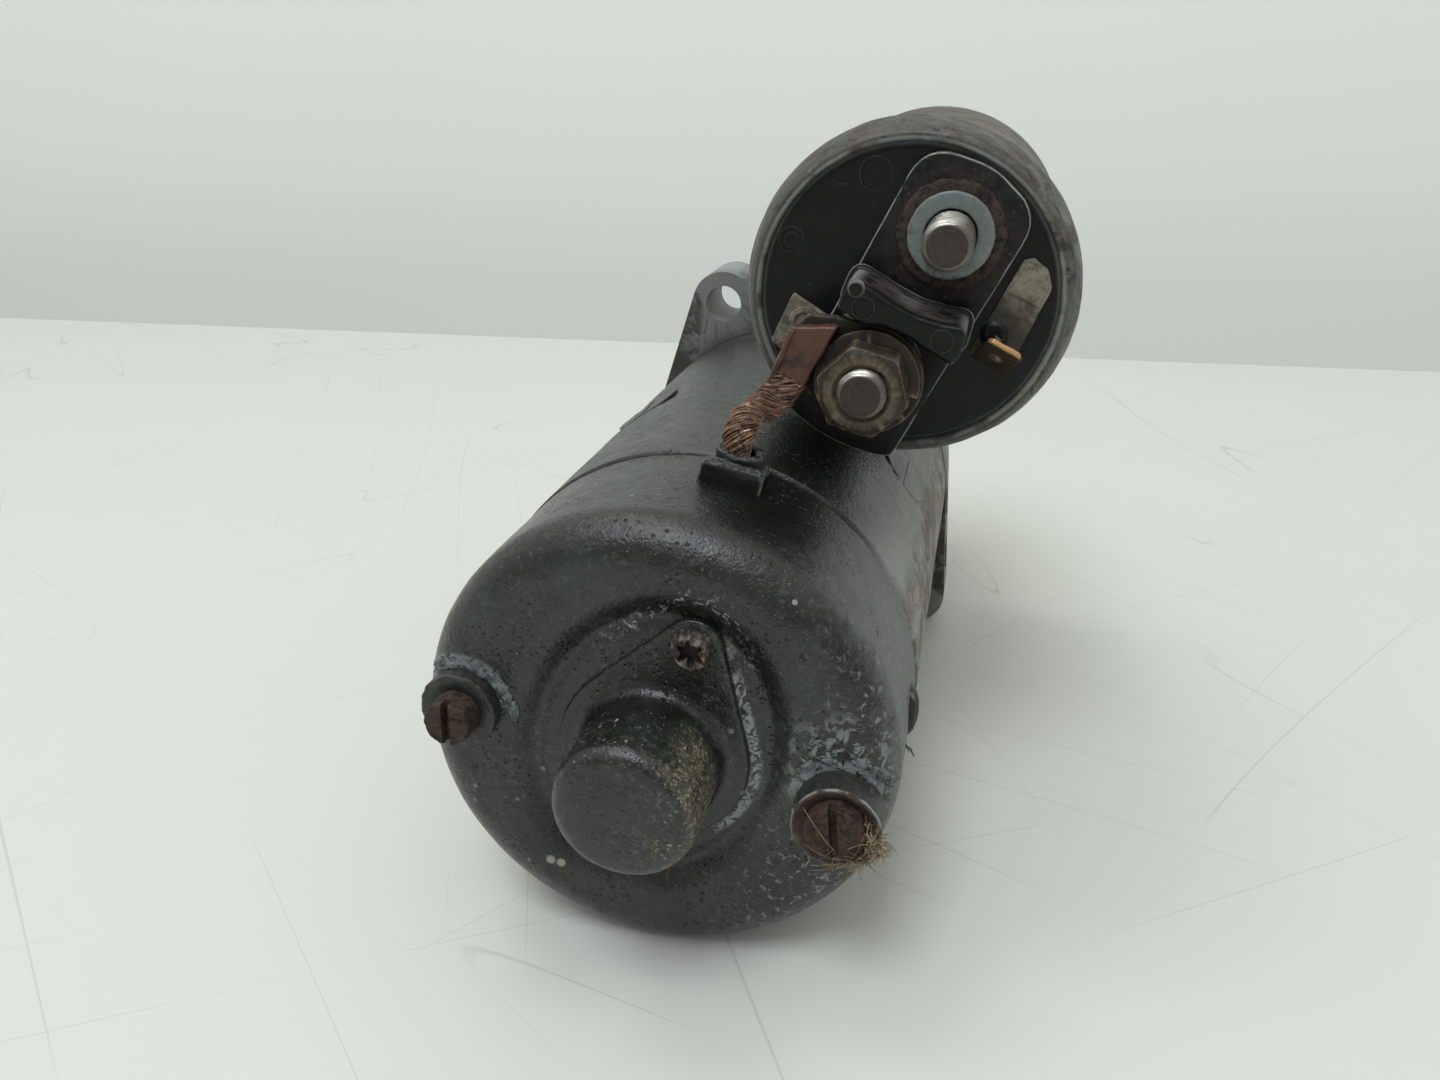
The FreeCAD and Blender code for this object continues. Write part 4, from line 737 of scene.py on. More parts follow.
def phenolic_look():
    """Moulded black plastic: brown dust round the upper stud, pale rubbed edges, and a pale band along the
    raised band's rounded front edge that is partly a painted highlight.
    """
    look = Look("phenolic", (0.0040, 0.0047, 0.0043), 0.38, 0.0, 0.28)
    look.tint(look.noise(2.2, 5, 0.6, seed=71), 0.7, 1.35)
    smear = look.patch(0.54, 0.74, 7, 6, 0.65, 0.6, seed=72)
    look.layer((smear, 0.25), (0.022, 0.024, 0.022), 0.6)
    stud = look.disc(STUD_X, UPPER_Z, 14.5, 8.2)
    back = look.depth(BARRIER_FACE + 0.6, BARRIER_FACE + 2.5)
    proud = look.mul(back, look.depth(PLATEAU_FACE + 1.6, PLATEAU_FACE + 0.6))
    cloud = look.patch(0.34, 0.66, 2.4, 6, 0.7, 0.5, seed=73)
    look.layer((stud, proud, cloud, 0.75), (0.036, 0.029, 0.024), 0.85)
    upward = look.facing(tuple(row([(0, 0, 1)])[0] * 1000), 0.35, 0.75)
    look.layer((upward, proud, cloud, 0.9), (0.060, 0.048, 0.040), 0.85)
    grit = look.patch(0.58, 0.70, 0.7, 4, 0.7, seed=74)
    look.layer((stud, proud, grit, 0.6), (0.115, 0.095, 0.080), 0.9)
    low = look.near((STUD_X, LUG_FACE, LOWER_Z - 4), 10, 15)
    look.layer((low, grit, 0.5), (0.08, 0.07, 0.05), 0.9)
    speck = look.patch(0.71, 0.75, 0.6, 3, 0.6, seed=78)
    look.layer((speck, 0.6), (0.16, 0.165, 0.155), 0.8)
    scratch = look.patch(0.70, 0.75, 1.0, 3, 0.5, 0.4, seed=75, stretch=(0.25, 1, 2.4))
    look.layer((scratch, 0.3), (0.10, 0.105, 0.10), 0.6)
    look.layer((look.edge(0.53, 0.58), 0.75), (0.27, 0.285, 0.28), 0.5)
    # Partly painted highlight: a pale band along the rounded front edge of the raised band, broken by rubbed
    # patches.
    depth = look.along((0, 1, 0))
    edge_highlight_band = look.mul(look.ramp(depth, PLATEAU_FACE + 0.07, PLATEAU_FACE + 0.14),
                        look.ramp(depth, PLATEAU_FACE + 0.46, PLATEAU_FACE + 0.30))
    rubbed = look.patch(0.34, 0.50, 7, 4, 0.6, seed=79)
    away = look.disc(RIVET_X, SOL_HEIGHT + RIVET_UP, 3.0, 3.6)
    look.layer((edge_highlight_band, rubbed, away, 0.9), (0.30, 0.315, 0.305), 0.45)
    look.bumps(0.028, 0.6, 4, 0.6, seed=76)
    look.bumps(0.05, 4, 3, 0.5, seed=77)
    return look.done()


def rubber_look():
    """Rubber: grit on top, pale dry edges."""
    look = Look("black_rubber", (0.0065, 0.0068, 0.0065), 0.58, 0.0, 0.35)
    look.tint(look.noise(1.8, 5, 0.6, seed=81), 0.7, 1.4)
    top = look.facing((0.0, 0.1, 1.0), 0.35, 0.8)
    grit = look.patch(0.47, 0.60, 0.7, 5, 0.75, seed=82)
    look.layer((top, grit, 0.9), (0.14, 0.145, 0.135), 0.95)
    look.layer((look.patch(0.62, 0.70, 0.6, 4, 0.7, seed=83), 0.5), (0.10, 0.10, 0.095), 0.9)
    edge = look.edge(0.53, 0.58)
    look.layer((edge, look.patch(0.38, 0.54, 1.6, 4, 0.7, seed=85), 0.8), (0.19, 0.195, 0.185), 0.8)
    look.bumps(0.16, 0.7, 5, 0.75, seed=84)
    return look.done()


def braid_look():
    """Copper braid: dark between the strands, brighter near the grommet."""
    look = Look("copper_braid", (0.23, 0.135, 0.093), 0.55, 0.45)
    look.layer(look.patch(0.48, 0.64, 2.2, 5, 0.7, 0.4, seed=91), (0.036, 0.022, 0.016), 0.8, 0.1)
    low = look.slope((0, 0, 1), SOL_HEIGHT - 21, SOL_HEIGHT - 26)
    bright = look.patch(0.48, 0.62, 1.2, 5, 0.7, seed=92)
    look.layer((bright, look.add(0.15, look.mul(low, 0.8))), (0.48, 0.28, 0.19), 0.45, 0.7)
    look.bumps(0.06, 0.5, 4, 0.7, seed=93)
    return look.done()


def bar_look():
    """Pressed copper bar: reddish brown with dark oil and rubbed edges."""
    look = Look("copper_bar", (0.118, 0.056, 0.035), 0.38, 0.30)
    look.layer(look.patch(0.48, 0.68, 4.5, 6, 0.65, 0.5, seed=94), (0.042, 0.026, 0.018), 0.55, 0.15)
    look.layer((look.patch(0.60, 0.70, 1.1, 5, 0.7, seed=95), 0.5), (0.15, 0.095, 0.068), 0.6, 0.3)
    look.layer((look.edge(0.52, 0.57), 0.8), (0.16, 0.115, 0.082), 0.55, 0.3)
    look.bumps(0.08, 0.7, 5, 0.7, seed=96)
    return look.done()


def old_brass_look():
    """Oily olive-brown brass: nearly black in the corners as painted shade, paler where edges are rubbed."""
    look = Look("old_brass", (0.034, 0.024, 0.014), 0.50, 0.35)
    look.tint(look.noise(1.0, 6, 0.75, seed=101), 0.5, 1.5)
    look.layer(look.patch(0.44, 0.58, 2.6, 6, 0.7, 0.7, seed=102), (0.020, 0.016, 0.010), 0.8, 0.1)
    grit = look.patch(0.56, 0.66, 0.6, 4, 0.75, seed=103)
    low = look.slope((0, 0, 1), LOWER_Z - 3, LOWER_Z - 8)
    look.layer((grit, look.add(look.mul(low, 0.7), 0.12)), (0.26, 0.225, 0.14), 0.9, 0.0)
    # Painted shade: near black in crevices and beside neighbours, from ambient occlusion.
    look.layer((look.crevice_shade(2.5), 0.85), (0.010, 0.008, 0.006), 0.9, 0.0)
    look.layer((look.edge(0.515, 0.57), 0.7), (0.23, 0.185, 0.115), 0.42, 0.5)
    look.bumps(0.10, 0.6, 5, 0.75, seed=104)
    look.bumps(0.10, 2.6, 4, 0.6, seed=105)
    return look.done()


def stud_look():
    """Steel stud: rusty dark end face, bright rubbed rim, and a painted highlight on the upward-facing side
    of the shank.
    """
    look = Look("stud_steel", (0.17, 0.150, 0.128), 0.42, 0.75)
    look.layer((look.patch(0.50, 0.64, 0.8, 6, 0.75, seed=111), 0.6), (0.05, 0.038, 0.03), 0.7, 0.2)
    # Painted highlight: upward-facing surfaces turned bright silver.
    upper_flank_highlight = look.facing((-0.25, -0.1, 0.95), 0.45, 0.85)
    look.layer((upper_flank_highlight, 0.85), (0.60, 0.585, 0.54), 0.30, 0.95)
    rear = look.facing((0.0, -1.0, 0.0), 0.90, 0.97)
    upper = look.mul(look.disc(STUD_X, UPPER_Z, 3.3, 3.0), look.slope((0, 0, 1), SOL_HEIGHT, UPPER_Z - 6))
    face = look.mul(rear, look.math("MAXIMUM", upper, look.disc(STUD_X, LOWER_Z, 3.3, 3.0)))
    look.layer((face, 0.97), (0.038, 0.026, 0.019), 0.8, 0.0)
    grain = look.patch(0.50, 0.64, 0.45, 5, 0.8, seed=113)
    look.layer((face, grain, 0.7), (0.082, 0.062, 0.050), 0.85, 0.0)
    look.bumps(0.06, 0.45, 4, 0.7, seed=112)
    return look.done()


def zinc_look():
    """Zinc washer, stained brown on its lower half."""
    look = Look("zinc", (0.20, 0.235, 0.225), 0.55, 0.35)
    look.tint(look.noise(1.1, 6, 0.75, seed=121), 0.55, 1.3)
    brown = look.patch(0.52, 0.66, 2.3, 6, 0.7, 0.6, seed=122)
    lower = look.slope((0.2, 0, 1), UPPER_Z + 1, UPPER_Z - 5)
    look.layer((brown, look.add(0.35, look.mul(lower, 0.65))), (0.10, 0.085, 0.068), 0.8, 0.0)
    # Painted shade: dark in crevices and beside neighbours, from ambient occlusion.
    look.layer((look.crevice_shade(1.2), 0.8), (0.03, 0.025, 0.02), 0.9, 0.0)
    look.bumps(0.06, 0.7, 4, 0.7, seed=123)
    return look.done()


def tab_look():
    """Tinned strip: chalky beige at its upper end, dark brown lower down on its right part, painted shade in
    its crevices.
    """
    look = Look("tin_tab", (0.230, 0.208, 0.150), 0.66, 0.15)
    look.tint(look.noise(1.2, 6, 0.75, seed=131), 0.6, 1.4)
    look.layer((look.patch(0.42, 0.58, 3, 6, 0.7, 0.5, seed=132), 0.85), (0.070, 0.057, 0.036), 0.8, 0.0)
    # Darker towards the lower end of the strip's right part.
    right = look.slope((1, 0, 0), 8, 10)
    low = look.slope((-0.35, 0, -1), -83.5, -78.0)
    lower_right_dark = look.mul(right, low)
    look.layer((lower_right_dark, 0.9), (0.026, 0.021, 0.014), 0.75, 0.0)
    look.layer((look.edge(0.52, 0.57), look.inverse(lower_right_dark), 0.6), (0.30, 0.28, 0.21), 0.5, 0.2)
    # Painted shade: dark in crevices and beside neighbours, from ambient occlusion.
    look.layer((look.crevice_shade(2.0), 0.7), (0.016, 0.013, 0.010), 0.9, 0.0)
    look.bumps(0.07, 0.8, 4, 0.7, seed=133)
    return look.done()


def blade_look():
    """Blade: dark brown face, bright copper-orange where its end is worn."""
    look = Look("blade_brass", (0.070, 0.046, 0.024), 0.50, 0.4)
    look.layer(look.patch(0.44, 0.60, 2.2, 6, 0.7, 0.5, seed=141), (0.026, 0.018, 0.012), 0.7, 0.1)
    end = look.ramp(look.stored("blade_end"), 0.72, 0.30)
    look.layer(end, (0.56, 0.32, 0.14), 0.38, 0.6)
    boss = look.ramp(look.stored("blade_boss"), 1.5, 1.0)
    look.layer((boss, 0.8), (0.24, 0.17, 0.11), 0.5, 0.4)
    look.bumps(0.05, 0.6, 4, 0.7, seed=142)
    return look.done()


def cast_look():
    """Die-cast bracket: bright skin in front, grimy and oily towards the yoke."""
    look = Look("cast_alloy", (0.27, 0.275, 0.27), 0.50, 0.4)
    look.tint(look.noise(1.6, 6, 0.75, seed=151), 0.65, 1.25)
    dark = look.patch(0.38, 0.58, 12, 6, 0.65, 0.4, seed=152)
    rear = look.depth(-7, -15)
    look.layer((dark, look.add(0.30, look.mul(rear, 0.65))), (0.058, 0.060, 0.056), 0.62, 0.1)
    grime = look.patch(0.36, 0.56, 4, 6, 0.7, 0.5, seed=156)
    look.layer((rear, grime, 0.85), (0.040, 0.041, 0.037), 0.6, 0.05)
    # Painted shade: dark in crevices and beside neighbours, from ambient occlusion.
    look.layer((look.crevice_shade(6.0), 0.75), (0.022, 0.021, 0.018), 0.85, 0.0)
    ear_x, ear_z = polar(EAR_HOLE_CIRCLE, EAR_HOLE_ANGLE)
    ring_dirt = look.mul(look.disc(ear_x, ear_z, 7.6, 6.2), look.patch(0.25, 0.45, 3, 4, 0.6, seed=157))
    look.layer((ring_dirt, 0.85), (0.040, 0.042, 0.039), 0.6, 0.1)
    brown = look.patch(0.60, 0.70, 5, 6, 0.7, 0.6, seed=153)
    look.layer((brown, 0.5), (0.085, 0.064, 0.042), 0.85, 0.0)
    look.layer((look.edge(0.52, 0.57), 0.5), (0.42, 0.43, 0.43), 0.38, 0.7)
    look.bumps(0.08, 0.8, 4, 0.65, seed=154)
    look.bumps(0.12, 3.4, 3, 0.6, seed=155)
    return look.done()


def washer_look():
    """Painted washers, the right one's dish rusted brown inside a bright rim."""
    look = black_paint("washer_steel", dust=0.4, chips=0.4, base=(0.014, 0.016, 0.015), rough=0.45)
    look.layer((look.edge(0.51, 0.56), look.patch(0.4, 0.6, 1.5, 5, 0.7, seed=161), 0.8),
               (0.13, 0.075, 0.052), 0.85)
    x, z = polar(BOLT_CIRCLE, BOLT_ANGLES[0])
    dish = look.mul(look.disc(x, z, 6.75, 6.45), look.facing((0, -1, 0), 0.3, 0.7))
    look.layer((dish, 0.95), (0.060, 0.033, 0.024), 0.85)
    look.layer((dish, look.patch(0.48, 0.62, 1.2, 6, 0.75, seed=164)), (0.105, 0.060, 0.044), 0.9)
    rim = look.mul(look.disc(x, z, 6.55, 6.8), look.disc(x, z, 7.3, 7.1),
                   look.facing((0, -1, 0), 0.25, 0.6), look.patch(0.40, 0.54, 3, 4, 0.6, seed=165))
    centre = UP[0] * x + UP[2] * z
    high = look.slope(UP, centre - 5, centre + 1)
    look.layer((rim, look.add(0.2, look.mul(high, 0.75))), (0.24, 0.255, 0.245), 0.55)
    look.bumps(0.12, 0.8, 5, 0.7, seed=163)
    return look.done()


def straw_look():
    """Dry plant fibre."""
    look = Look("straw_fibre", (0.34, 0.26, 0.16), 0.8, 0.0)
    look.layer(look.patch(0.40, 0.60, 3, 4, 0.6, seed=171), (0.12, 0.075, 0.042), 0.85)
    return look.done()


def star_screw_look():
    """Star screw: nearly black rust, bright where the rim and the socket's corners are rubbed."""
    look = Look("star_screw", (0.036, 0.025, 0.020), 0.55, 0.25, 0.5)
    look.layer(look.patch(0.44, 0.58, 0.9, 6, 0.7, 0.6, seed=191), (0.014, 0.011, 0.010), 0.6, 0.1)
    look.layer((look.edge(0.51, 0.56), look.patch(0.46, 0.60, 1.3, 5, 0.7, seed=192), 0.8),
               (0.30, 0.245, 0.205), 0.5, 0.3)
    flake = look.patch(0.63, 0.69, 0.8, 5, 0.7, seed=193)
    look.layer((flake, 0.8), (0.26, 0.19, 0.15), 0.7, 0.1)
    look.layer(look.patch(0.63, 0.68, 1.9, 4, 0.6, seed=194), (0.30, 0.15, 0.065), 0.8, 0.0)
    look.bumps(0.14, 0.5, 5, 0.75, seed=195)
    look.bumps(0.20, 1.5, 4, 0.7, 0.8, seed=196)
    return look.done()


# Plain metals and plastics: colour, roughness, grime, grain and how metallic they are.
PLAIN = {
    "bronze": ((0.42, 0.27, 0.12), 0.45),
    "machined_steel": ((0.50, 0.49, 0.47), 0.30, 0.3, 0.6),
    "hardened_steel": ((0.36, 0.36, 0.36), 0.32, 0.45, 0.7),
    "laminated_iron": ((0.24, 0.235, 0.23), 0.5, 0.5),
    "pole_iron": ((0.17, 0.165, 0.16), 0.55, 0.5),
    "copper_winding": ((0.45, 0.20, 0.09), 0.38, 0.4),
    "coil_tape": ((0.28, 0.22, 0.14), 0.8, 0.5, 2.0, 0.0),
    "commutator_copper": ((0.55, 0.30, 0.17), 0.33, 0.35),
    "carbon": ((0.05, 0.05, 0.052), 0.6, 0.2, 1.0, 0.1),
    "plated_sheet": ((0.44, 0.42, 0.35), 0.38, 0.35),
    "spring_steel": ((0.33, 0.33, 0.33), 0.34, 0.4),
    "lever_steel": ((0.11, 0.11, 0.105), 0.5, 0.4, 1.0, 0.4),
    "bobbin_plastic": ((0.50, 0.45, 0.34), 0.5, 0.3, 1.0, 0.0),
}
LOOKS = {name: metal(name, *settings) for name, settings in PLAIN.items()}
LOOKS |= {
    "end_cap_paint": end_cap_look(),
    "yoke_paint": yoke_look(),
    "bearing_cap_paint": bearing_look(),
    "rusty_screw": rust("rusty_screw"),
    "washer_steel": washer_look(),
    "cast_alloy": cast_look(),
    "black_rubber": rubber_look(),
    "copper_braid": braid_look(),
    "phenolic": phenolic_look(),
    "can_steel": can_look(),
    "stud_steel": stud_look(),
    "seat_rust": rust("seat_rust", (0.060, 0.042, 0.034), (0.018, 0.013, 0.011), (0.14, 0.105, 0.082)),
    "zinc": zinc_look(),
    "old_brass": old_brass_look(),
    "tin_tab": tab_look(),
}


# ---- rear end cap ----
POCKET_DEPTH = 1.5
POCKET_LONG = 28.6
POCKET_SHORT = 21.8
SHOULDER = 7.0
DENT_X, DENT_Z = 7.4, -28.4


def pocket_depth(x, z):
    """Depth of the sunk oval panel, with its wide soft wall."""
    c, s = polar(1.0, FLANGE_ANGLE)
    a = x * c + z * s
    b = -x * s + z * c
    e = np.sqrt((a / POCKET_LONG) ** 2 + (b / POCKET_SHORT) ** 2)
    groove = 0.75 * np.exp(-((e - 0.86) / 0.075) ** 2)
    return POCKET_DEPTH * (1 - smooth(0.86, 1.05, e)) + groove, e


def end_cap():
    """Pressed cup: soft panel and shoulder, small stamped marks, a rolled rim at the seam."""
    count = 360
    profile = [(r, CAP_FACE) for r in np.linspace(9.0, CAP_RADIUS - SHOULDER, 46)]
    profile += bend(CAP_RADIUS - SHOULDER, CAP_FACE, SHOULDER, 14)
    profile += [(CAP_RADIUS, y) for y in np.linspace(CAP_FACE + SHOULDER + 1.2, SEAM - 1.2, 20)]
    rim, bore = SEAM - 0.25, CAP_RADIUS - 2.5
    profile += [(CAP_RADIUS - 0.1, SEAM - 0.6), (CAP_RADIUS - 0.45, rim), (bore, rim)]
    inner = [(bore, CAP_FACE + 10), (CAP_RADIUS - 5, CAP_FACE + 4.2), (9.0, CAP_FACE + 3.6)]
    marks = ((-23.5, -21.0), (-4.0, -33.0), (6.5, -35.2), (14.5, -33.0), (-27.0, 18.5), (20.5, 26.0))
    rings = []
    for r, y in profile:
        points = ring(r, y, count=count)
        x, z = points[:, 0], points[:, 2]
        if r < CAP_RADIUS - 0.02 and y < CAP_FACE + SHOULDER:
            depth, e = pocket_depth(x, z)
            lip = 0.225 * np.exp(-((e - 1.15) / 0.07) ** 2) * (r < CAP_RADIUS - 3)
            level = (x - DENT_X) * UP[2] - (z - DENT_Z) * UP[0]
            rise = (x - DENT_X) * UP[0] + (z - DENT_Z) * UP[2]
            points[:, 1] += depth - lip + 0.9 * np.exp(-(level / 4.6) ** 2 - (rise / 3.6) ** 2)
            for mx, mz in marks:
                points[:, 1] -= 0.22 * np.exp(-((x - mx) ** 2 + (z - mz) ** 2) / 0.7)
        rings.append(points)
    rings += rings_at(0, 0, count, inner)
    return wear(loop(rings), 0.10, 9.0, 1.0, 3)


# ---- bearing cap ----
DOME_RADIUS = 11.4
PLATE_RADIUS = 15.6
TIP_RADIUS = 4.6
PLATE_TOP = CAP_FACE + POCKET_DEPTH - 1.0


def teardrop_radius(angles):
    """Outer radius of the plate by angle: a disc and two tips joined by straight sides."""
    best = PLATE_RADIUS + DOME_X * np.cos(angles)
    for tip in (FLANGE_ANGLE, FLANGE_ANGLE + 180):
        tip_x, tip_z = polar(FLANGE_CIRCLE, tip)
        for s in np.linspace(0, 1, 60):
            cx, cz = DOME_X + (tip_x - DOME_X) * s, tip_z * s
            r = PLATE_RADIUS + (TIP_RADIUS - PLATE_RADIUS) * s
            b = cx * np.cos(angles) + cz * np.sin(angles)
            inside = b * b - (cx * cx + cz * cz - r * r)
            best = np.maximum(best, np.where(inside > 0, b + np.sqrt(np.maximum(inside, 0)), 0))
    return best


end_shell = piece("end_cap_shell", end_cap(), "end_cap_paint", ("rear_end_cap",))


def plate_gap(x, y, z):
    """How far outside the bearing plate's edge a point lies."""
    return np.hypot(x, z) - teardrop_radius(np.arctan2(z, x))


def plate_side(x, y, z):
    """1 beside the plate's right edge, fading past its tip and its lower end."""
    spine = x * math.cos(math.radians(FLANGE_ANGLE)) + z * math.sin(math.radians(FLANGE_ANGLE))
    return smooth(-1.0, 4.0, x) * smooth(-12, -6, spine) * np.where(spine > 19, 0.4, 1.0)


def pocket_top(x, y, z):
    return smooth(12, 17, z) * smooth(-21, -16, x) * smooth(9, 5, x)


mark(end_shell, "plate_gap", plate_gap)
mark(end_shell, "plate_side", plate_side)
mark(end_shell, "pocket_top", pocket_top)


def bearing_cap():
    """Plate in one piece with a domed cup: soft root, tall wall, a wide rounded end."""
    count = 240
    outer = teardrop_radius(circle(count))
    edge, root, rim_edge = 2.6, 2.2, 0.45
    dome = [(r, DOME_END + 0.25 * (r / 8) ** 2) for r in (0.01, 1.5, 3, 4.5, 6, 7.4)]
    dome += bend(DOME_RADIUS - 0.15 - edge, DOME_END + 0.28, edge, 11)
    dome += [(DOME_RADIUS - 0.08, y) for y in np.linspace(DOME_END + 3.6, PLATE_TOP - 3.0, 12)]
    for step in range(1, 9):
        a = math.radians(90 * step / 8)
        dome.append((DOME_RADIUS - 0.05 + root * (1 - math.cos(a)), PLATE_TOP - root + root * math.sin(a)))
    rings = rings_at(DOME_X, 0.0, count, dome)
    inner = ring(DOME_RADIUS + 2.15, PLATE_TOP, DOME_X, 0.0, count)
    rim = ring(outer - rim_edge, PLATE_TOP, count=count)
    rings += [inner * (1 - t) + rim * t for t in np.linspace(0.15, 1, 8)]
    sides = bend(outer - rim_edge, PLATE_TOP, rim_edge, 3)
    rings += rings_at(0, 0, count, sides + [(outer, PLATE_TOP + 1.9), (outer - 4, PLATE_TOP + 1.9)])
    return wear(skin(rings), 0.08, 6.0, 4.0, 3)


piece("bearing_cap_cover", bearing_cap(), "bearing_cap_paint", ("rear_bearing_cap",))


def star_screw(x, z, seed):
    """Button-head screw with a star socket, its rim eaten by rust."""
    count = 72
    star = 1.75 + 0.42 * np.cos(6 * circle(count))
    floor = ((star * 0.25, 0.5), (star * 0.93, 0.5))
    socket = floor + ((star, 0.9), (star * 1.02, 1.9), (star * 1.06 + 0.08, 2.1))
    head = ((2.5, 2.1), (2.85, 1.8), (3.1, 1.3), (3.3, 0.7), (3.35, 0.0))
    rings = rings_at(x, z, count, [(r, PLATE_TOP - d) for r, d in socket + head])
    return wear(skin(rings), 0.20, 0.9, seed, 2)


star_screws = [star_screw(*polar(FLANGE_CIRCLE, FLANGE_ANGLE + 180 * i), 3.0 + i) for i in range(2)]
piece("star_screws", join(*star_screws), "rusty_screw", ("bearing_cap_screws",), look=star_screw_look())


# ---- through bolts and washers ----
HEAD_TOP = CAP_FACE - 7.0
HEAD_RADII = (4.7, 3.8)
SHANK = 2.5
SHANK_END = -8.0
WASHER_FRONTS = (CAP_FACE - 5.0, CAP_FACE - 2.8)
WASHER_RADII = (7.0, 6.4)


def carve(obj, cutters):
    """Cut closed meshes out of an object and keep the result as its mesh."""
    tools = [solid_object("cutter", part, 1e-6) for part in cutters]
    for tool in tools:
        cut = obj.modifiers.new("cut", "BOOLEAN")
        cut.operation = "DIFFERENCE"
        cut.solver = "EXACT"
        cut.object = tool
    bpy.context.view_layer.update()
    result = bpy.data.meshes.new_from_object(obj.evaluated_get(bpy.context.evaluated_depsgraph_get()))
    obj.modifiers.clear()
    obj.data = result
    shade(result)
    for tool in tools:
        mesh = tool.data
        bpy.data.objects.remove(tool)
        bpy.data.meshes.remove(mesh)


def slotted_bolts():
    """Rusty round heads, each with a worn slot, on long shanks."""
    parts, cutters = [], []
    for index, angle in enumerate(BOLT_ANGLES):
        x, z = polar(BOLT_CIRCLE, angle)
        radius = HEAD_RADII[index]
        seat = WASHER_FRONTS[index] + 1.2
        head = [(0.01, HEAD_TOP), (radius, HEAD_TOP), (radius, seat)]
        corners = head + [(SHANK, seat), (SHANK, SHANK_END), (0.01, SHANK_END)]
        profile = rounded(corners, [0, 0.55, 0.2, 0, 0, 0], 4)
        dense = [profile[0]] + [(r, HEAD_TOP) for r in (0.8, 1.6, 2.4, 3.0)] + profile[1:]
        parts.append(wear(turned(dense, x, z, 72), 0.20, 1.1, 5.0 + index, 3))
        slot = block((-0.68, HEAD_TOP - 2, -7), (0.68, HEAD_TOP + 1.8, 7), 0.12, 2)
        cutters.append(moved(slot, turn_matrix(-math.degrees(LEAN) - 4 + 7 * index, "Y"), (x, 0, z)))
    return join(*parts), cutters


bolt_part, bolt_slots = slotted_bolts()
carve(piece("slotted_bolts", bolt_part, "rusty_screw", ("through_bolts",)), bolt_slots)


def washers():
    """Thick washers; the right one is a taller cup, dished round the bolt head."""
    parts = []
    for index, angle in enumerate(BOLT_ANGLES):
        x, z = polar(BOLT_CIRCLE, angle)
        front, radius = WASHER_FRONTS[index], WASHER_RADII[index]
        dish = 1.1 if index == 0 else 0.0
        inner = HEAD_RADII[index] - 0.3
        back = CAP_FACE + 0.5
        corners = [(inner, front + 0.25 + dish), (radius - 1.3, front + 0.5 * dish), (radius - 0.6, front),
                   (radius, front + 0.2), (radius, back), (inner, back)]
        profile = rounded(corners, [0.1, 0.5, 0.3, 0.3, 0.1, 0], 4, True)
        parts.append(wear(turned(profile, x, z, 84, True), 0.18, 1.8, 8.0 + index, 3))
    return join(*parts)


piece("bolt_washers", washers(), "washer_steel", ("through_bolt_washers",))


def chips_round_bolts():
    """Lifted paint crust: a torn collar over each washer's upper side and a few loose flakes."""
    rng = random.Random(12)
    parts = []
    for index, angle in enumerate(BOLT_ANGLES):
        cx, cz = polar(BOLT_CIRCLE, angle)
        inner = WASHER_RADII[index] + 0.1
        for _ in range(26):
            spot = math.radians(math.degrees(LEAN) + 62 + rng.uniform(-78, 70))
            d = inner + abs(rng.gauss(0, 0.9)) * (1.5 if index == 0 else 1.1)
            x, z = cx + d * math.cos(spot), cz + d * math.sin(spot)
            if math.hypot(x, z) > 38.2:
                continue
            size = rng.uniform(0.35, 1.15)
            outline = []
            for a in circle(11):
                r = size * rng.uniform(0.5, 1.35)
                along, out = 1.5 * r * math.cos(a), 0.75 * r * math.sin(a)
                outline.append((x - along * math.sin(spot) + out * math.cos(spot),
                                z + along * math.cos(spot) + out * math.sin(spot)))
            drop = float(pocket_depth(np.array(x), np.array(z))[0])
            rim = max(0.0, math.hypot(x, z) - (CAP_RADIUS - SHOULDER))
            drop += SHOULDER - math.sqrt(max(SHOULDER ** 2 - rim ** 2, 0.01))
            rise = rng.uniform(0.15, 0.55)
            parts.append(slab(outline, CAP_FACE + drop - rise, CAP_FACE + drop + 0.6, 0.1, 2))
    return join(*parts)


def crust_look():
    """Lifted paint with dark undersides."""
    look = Look("paint_crust", (0.19, 0.21, 0.21), 0.62)
    look.layer(look.patch(0.42, 0.6, 1.0, 5, 0.7, seed=181), (0.05, 0.055, 0.052), 0.6)
    look.bumps(0.06, 0.6, 4, 0.7, seed=182)
    return look.done()


piece("paint_crust", chips_round_bolts(), "end_cap_paint", look=crust_look())


FIBRES = 210


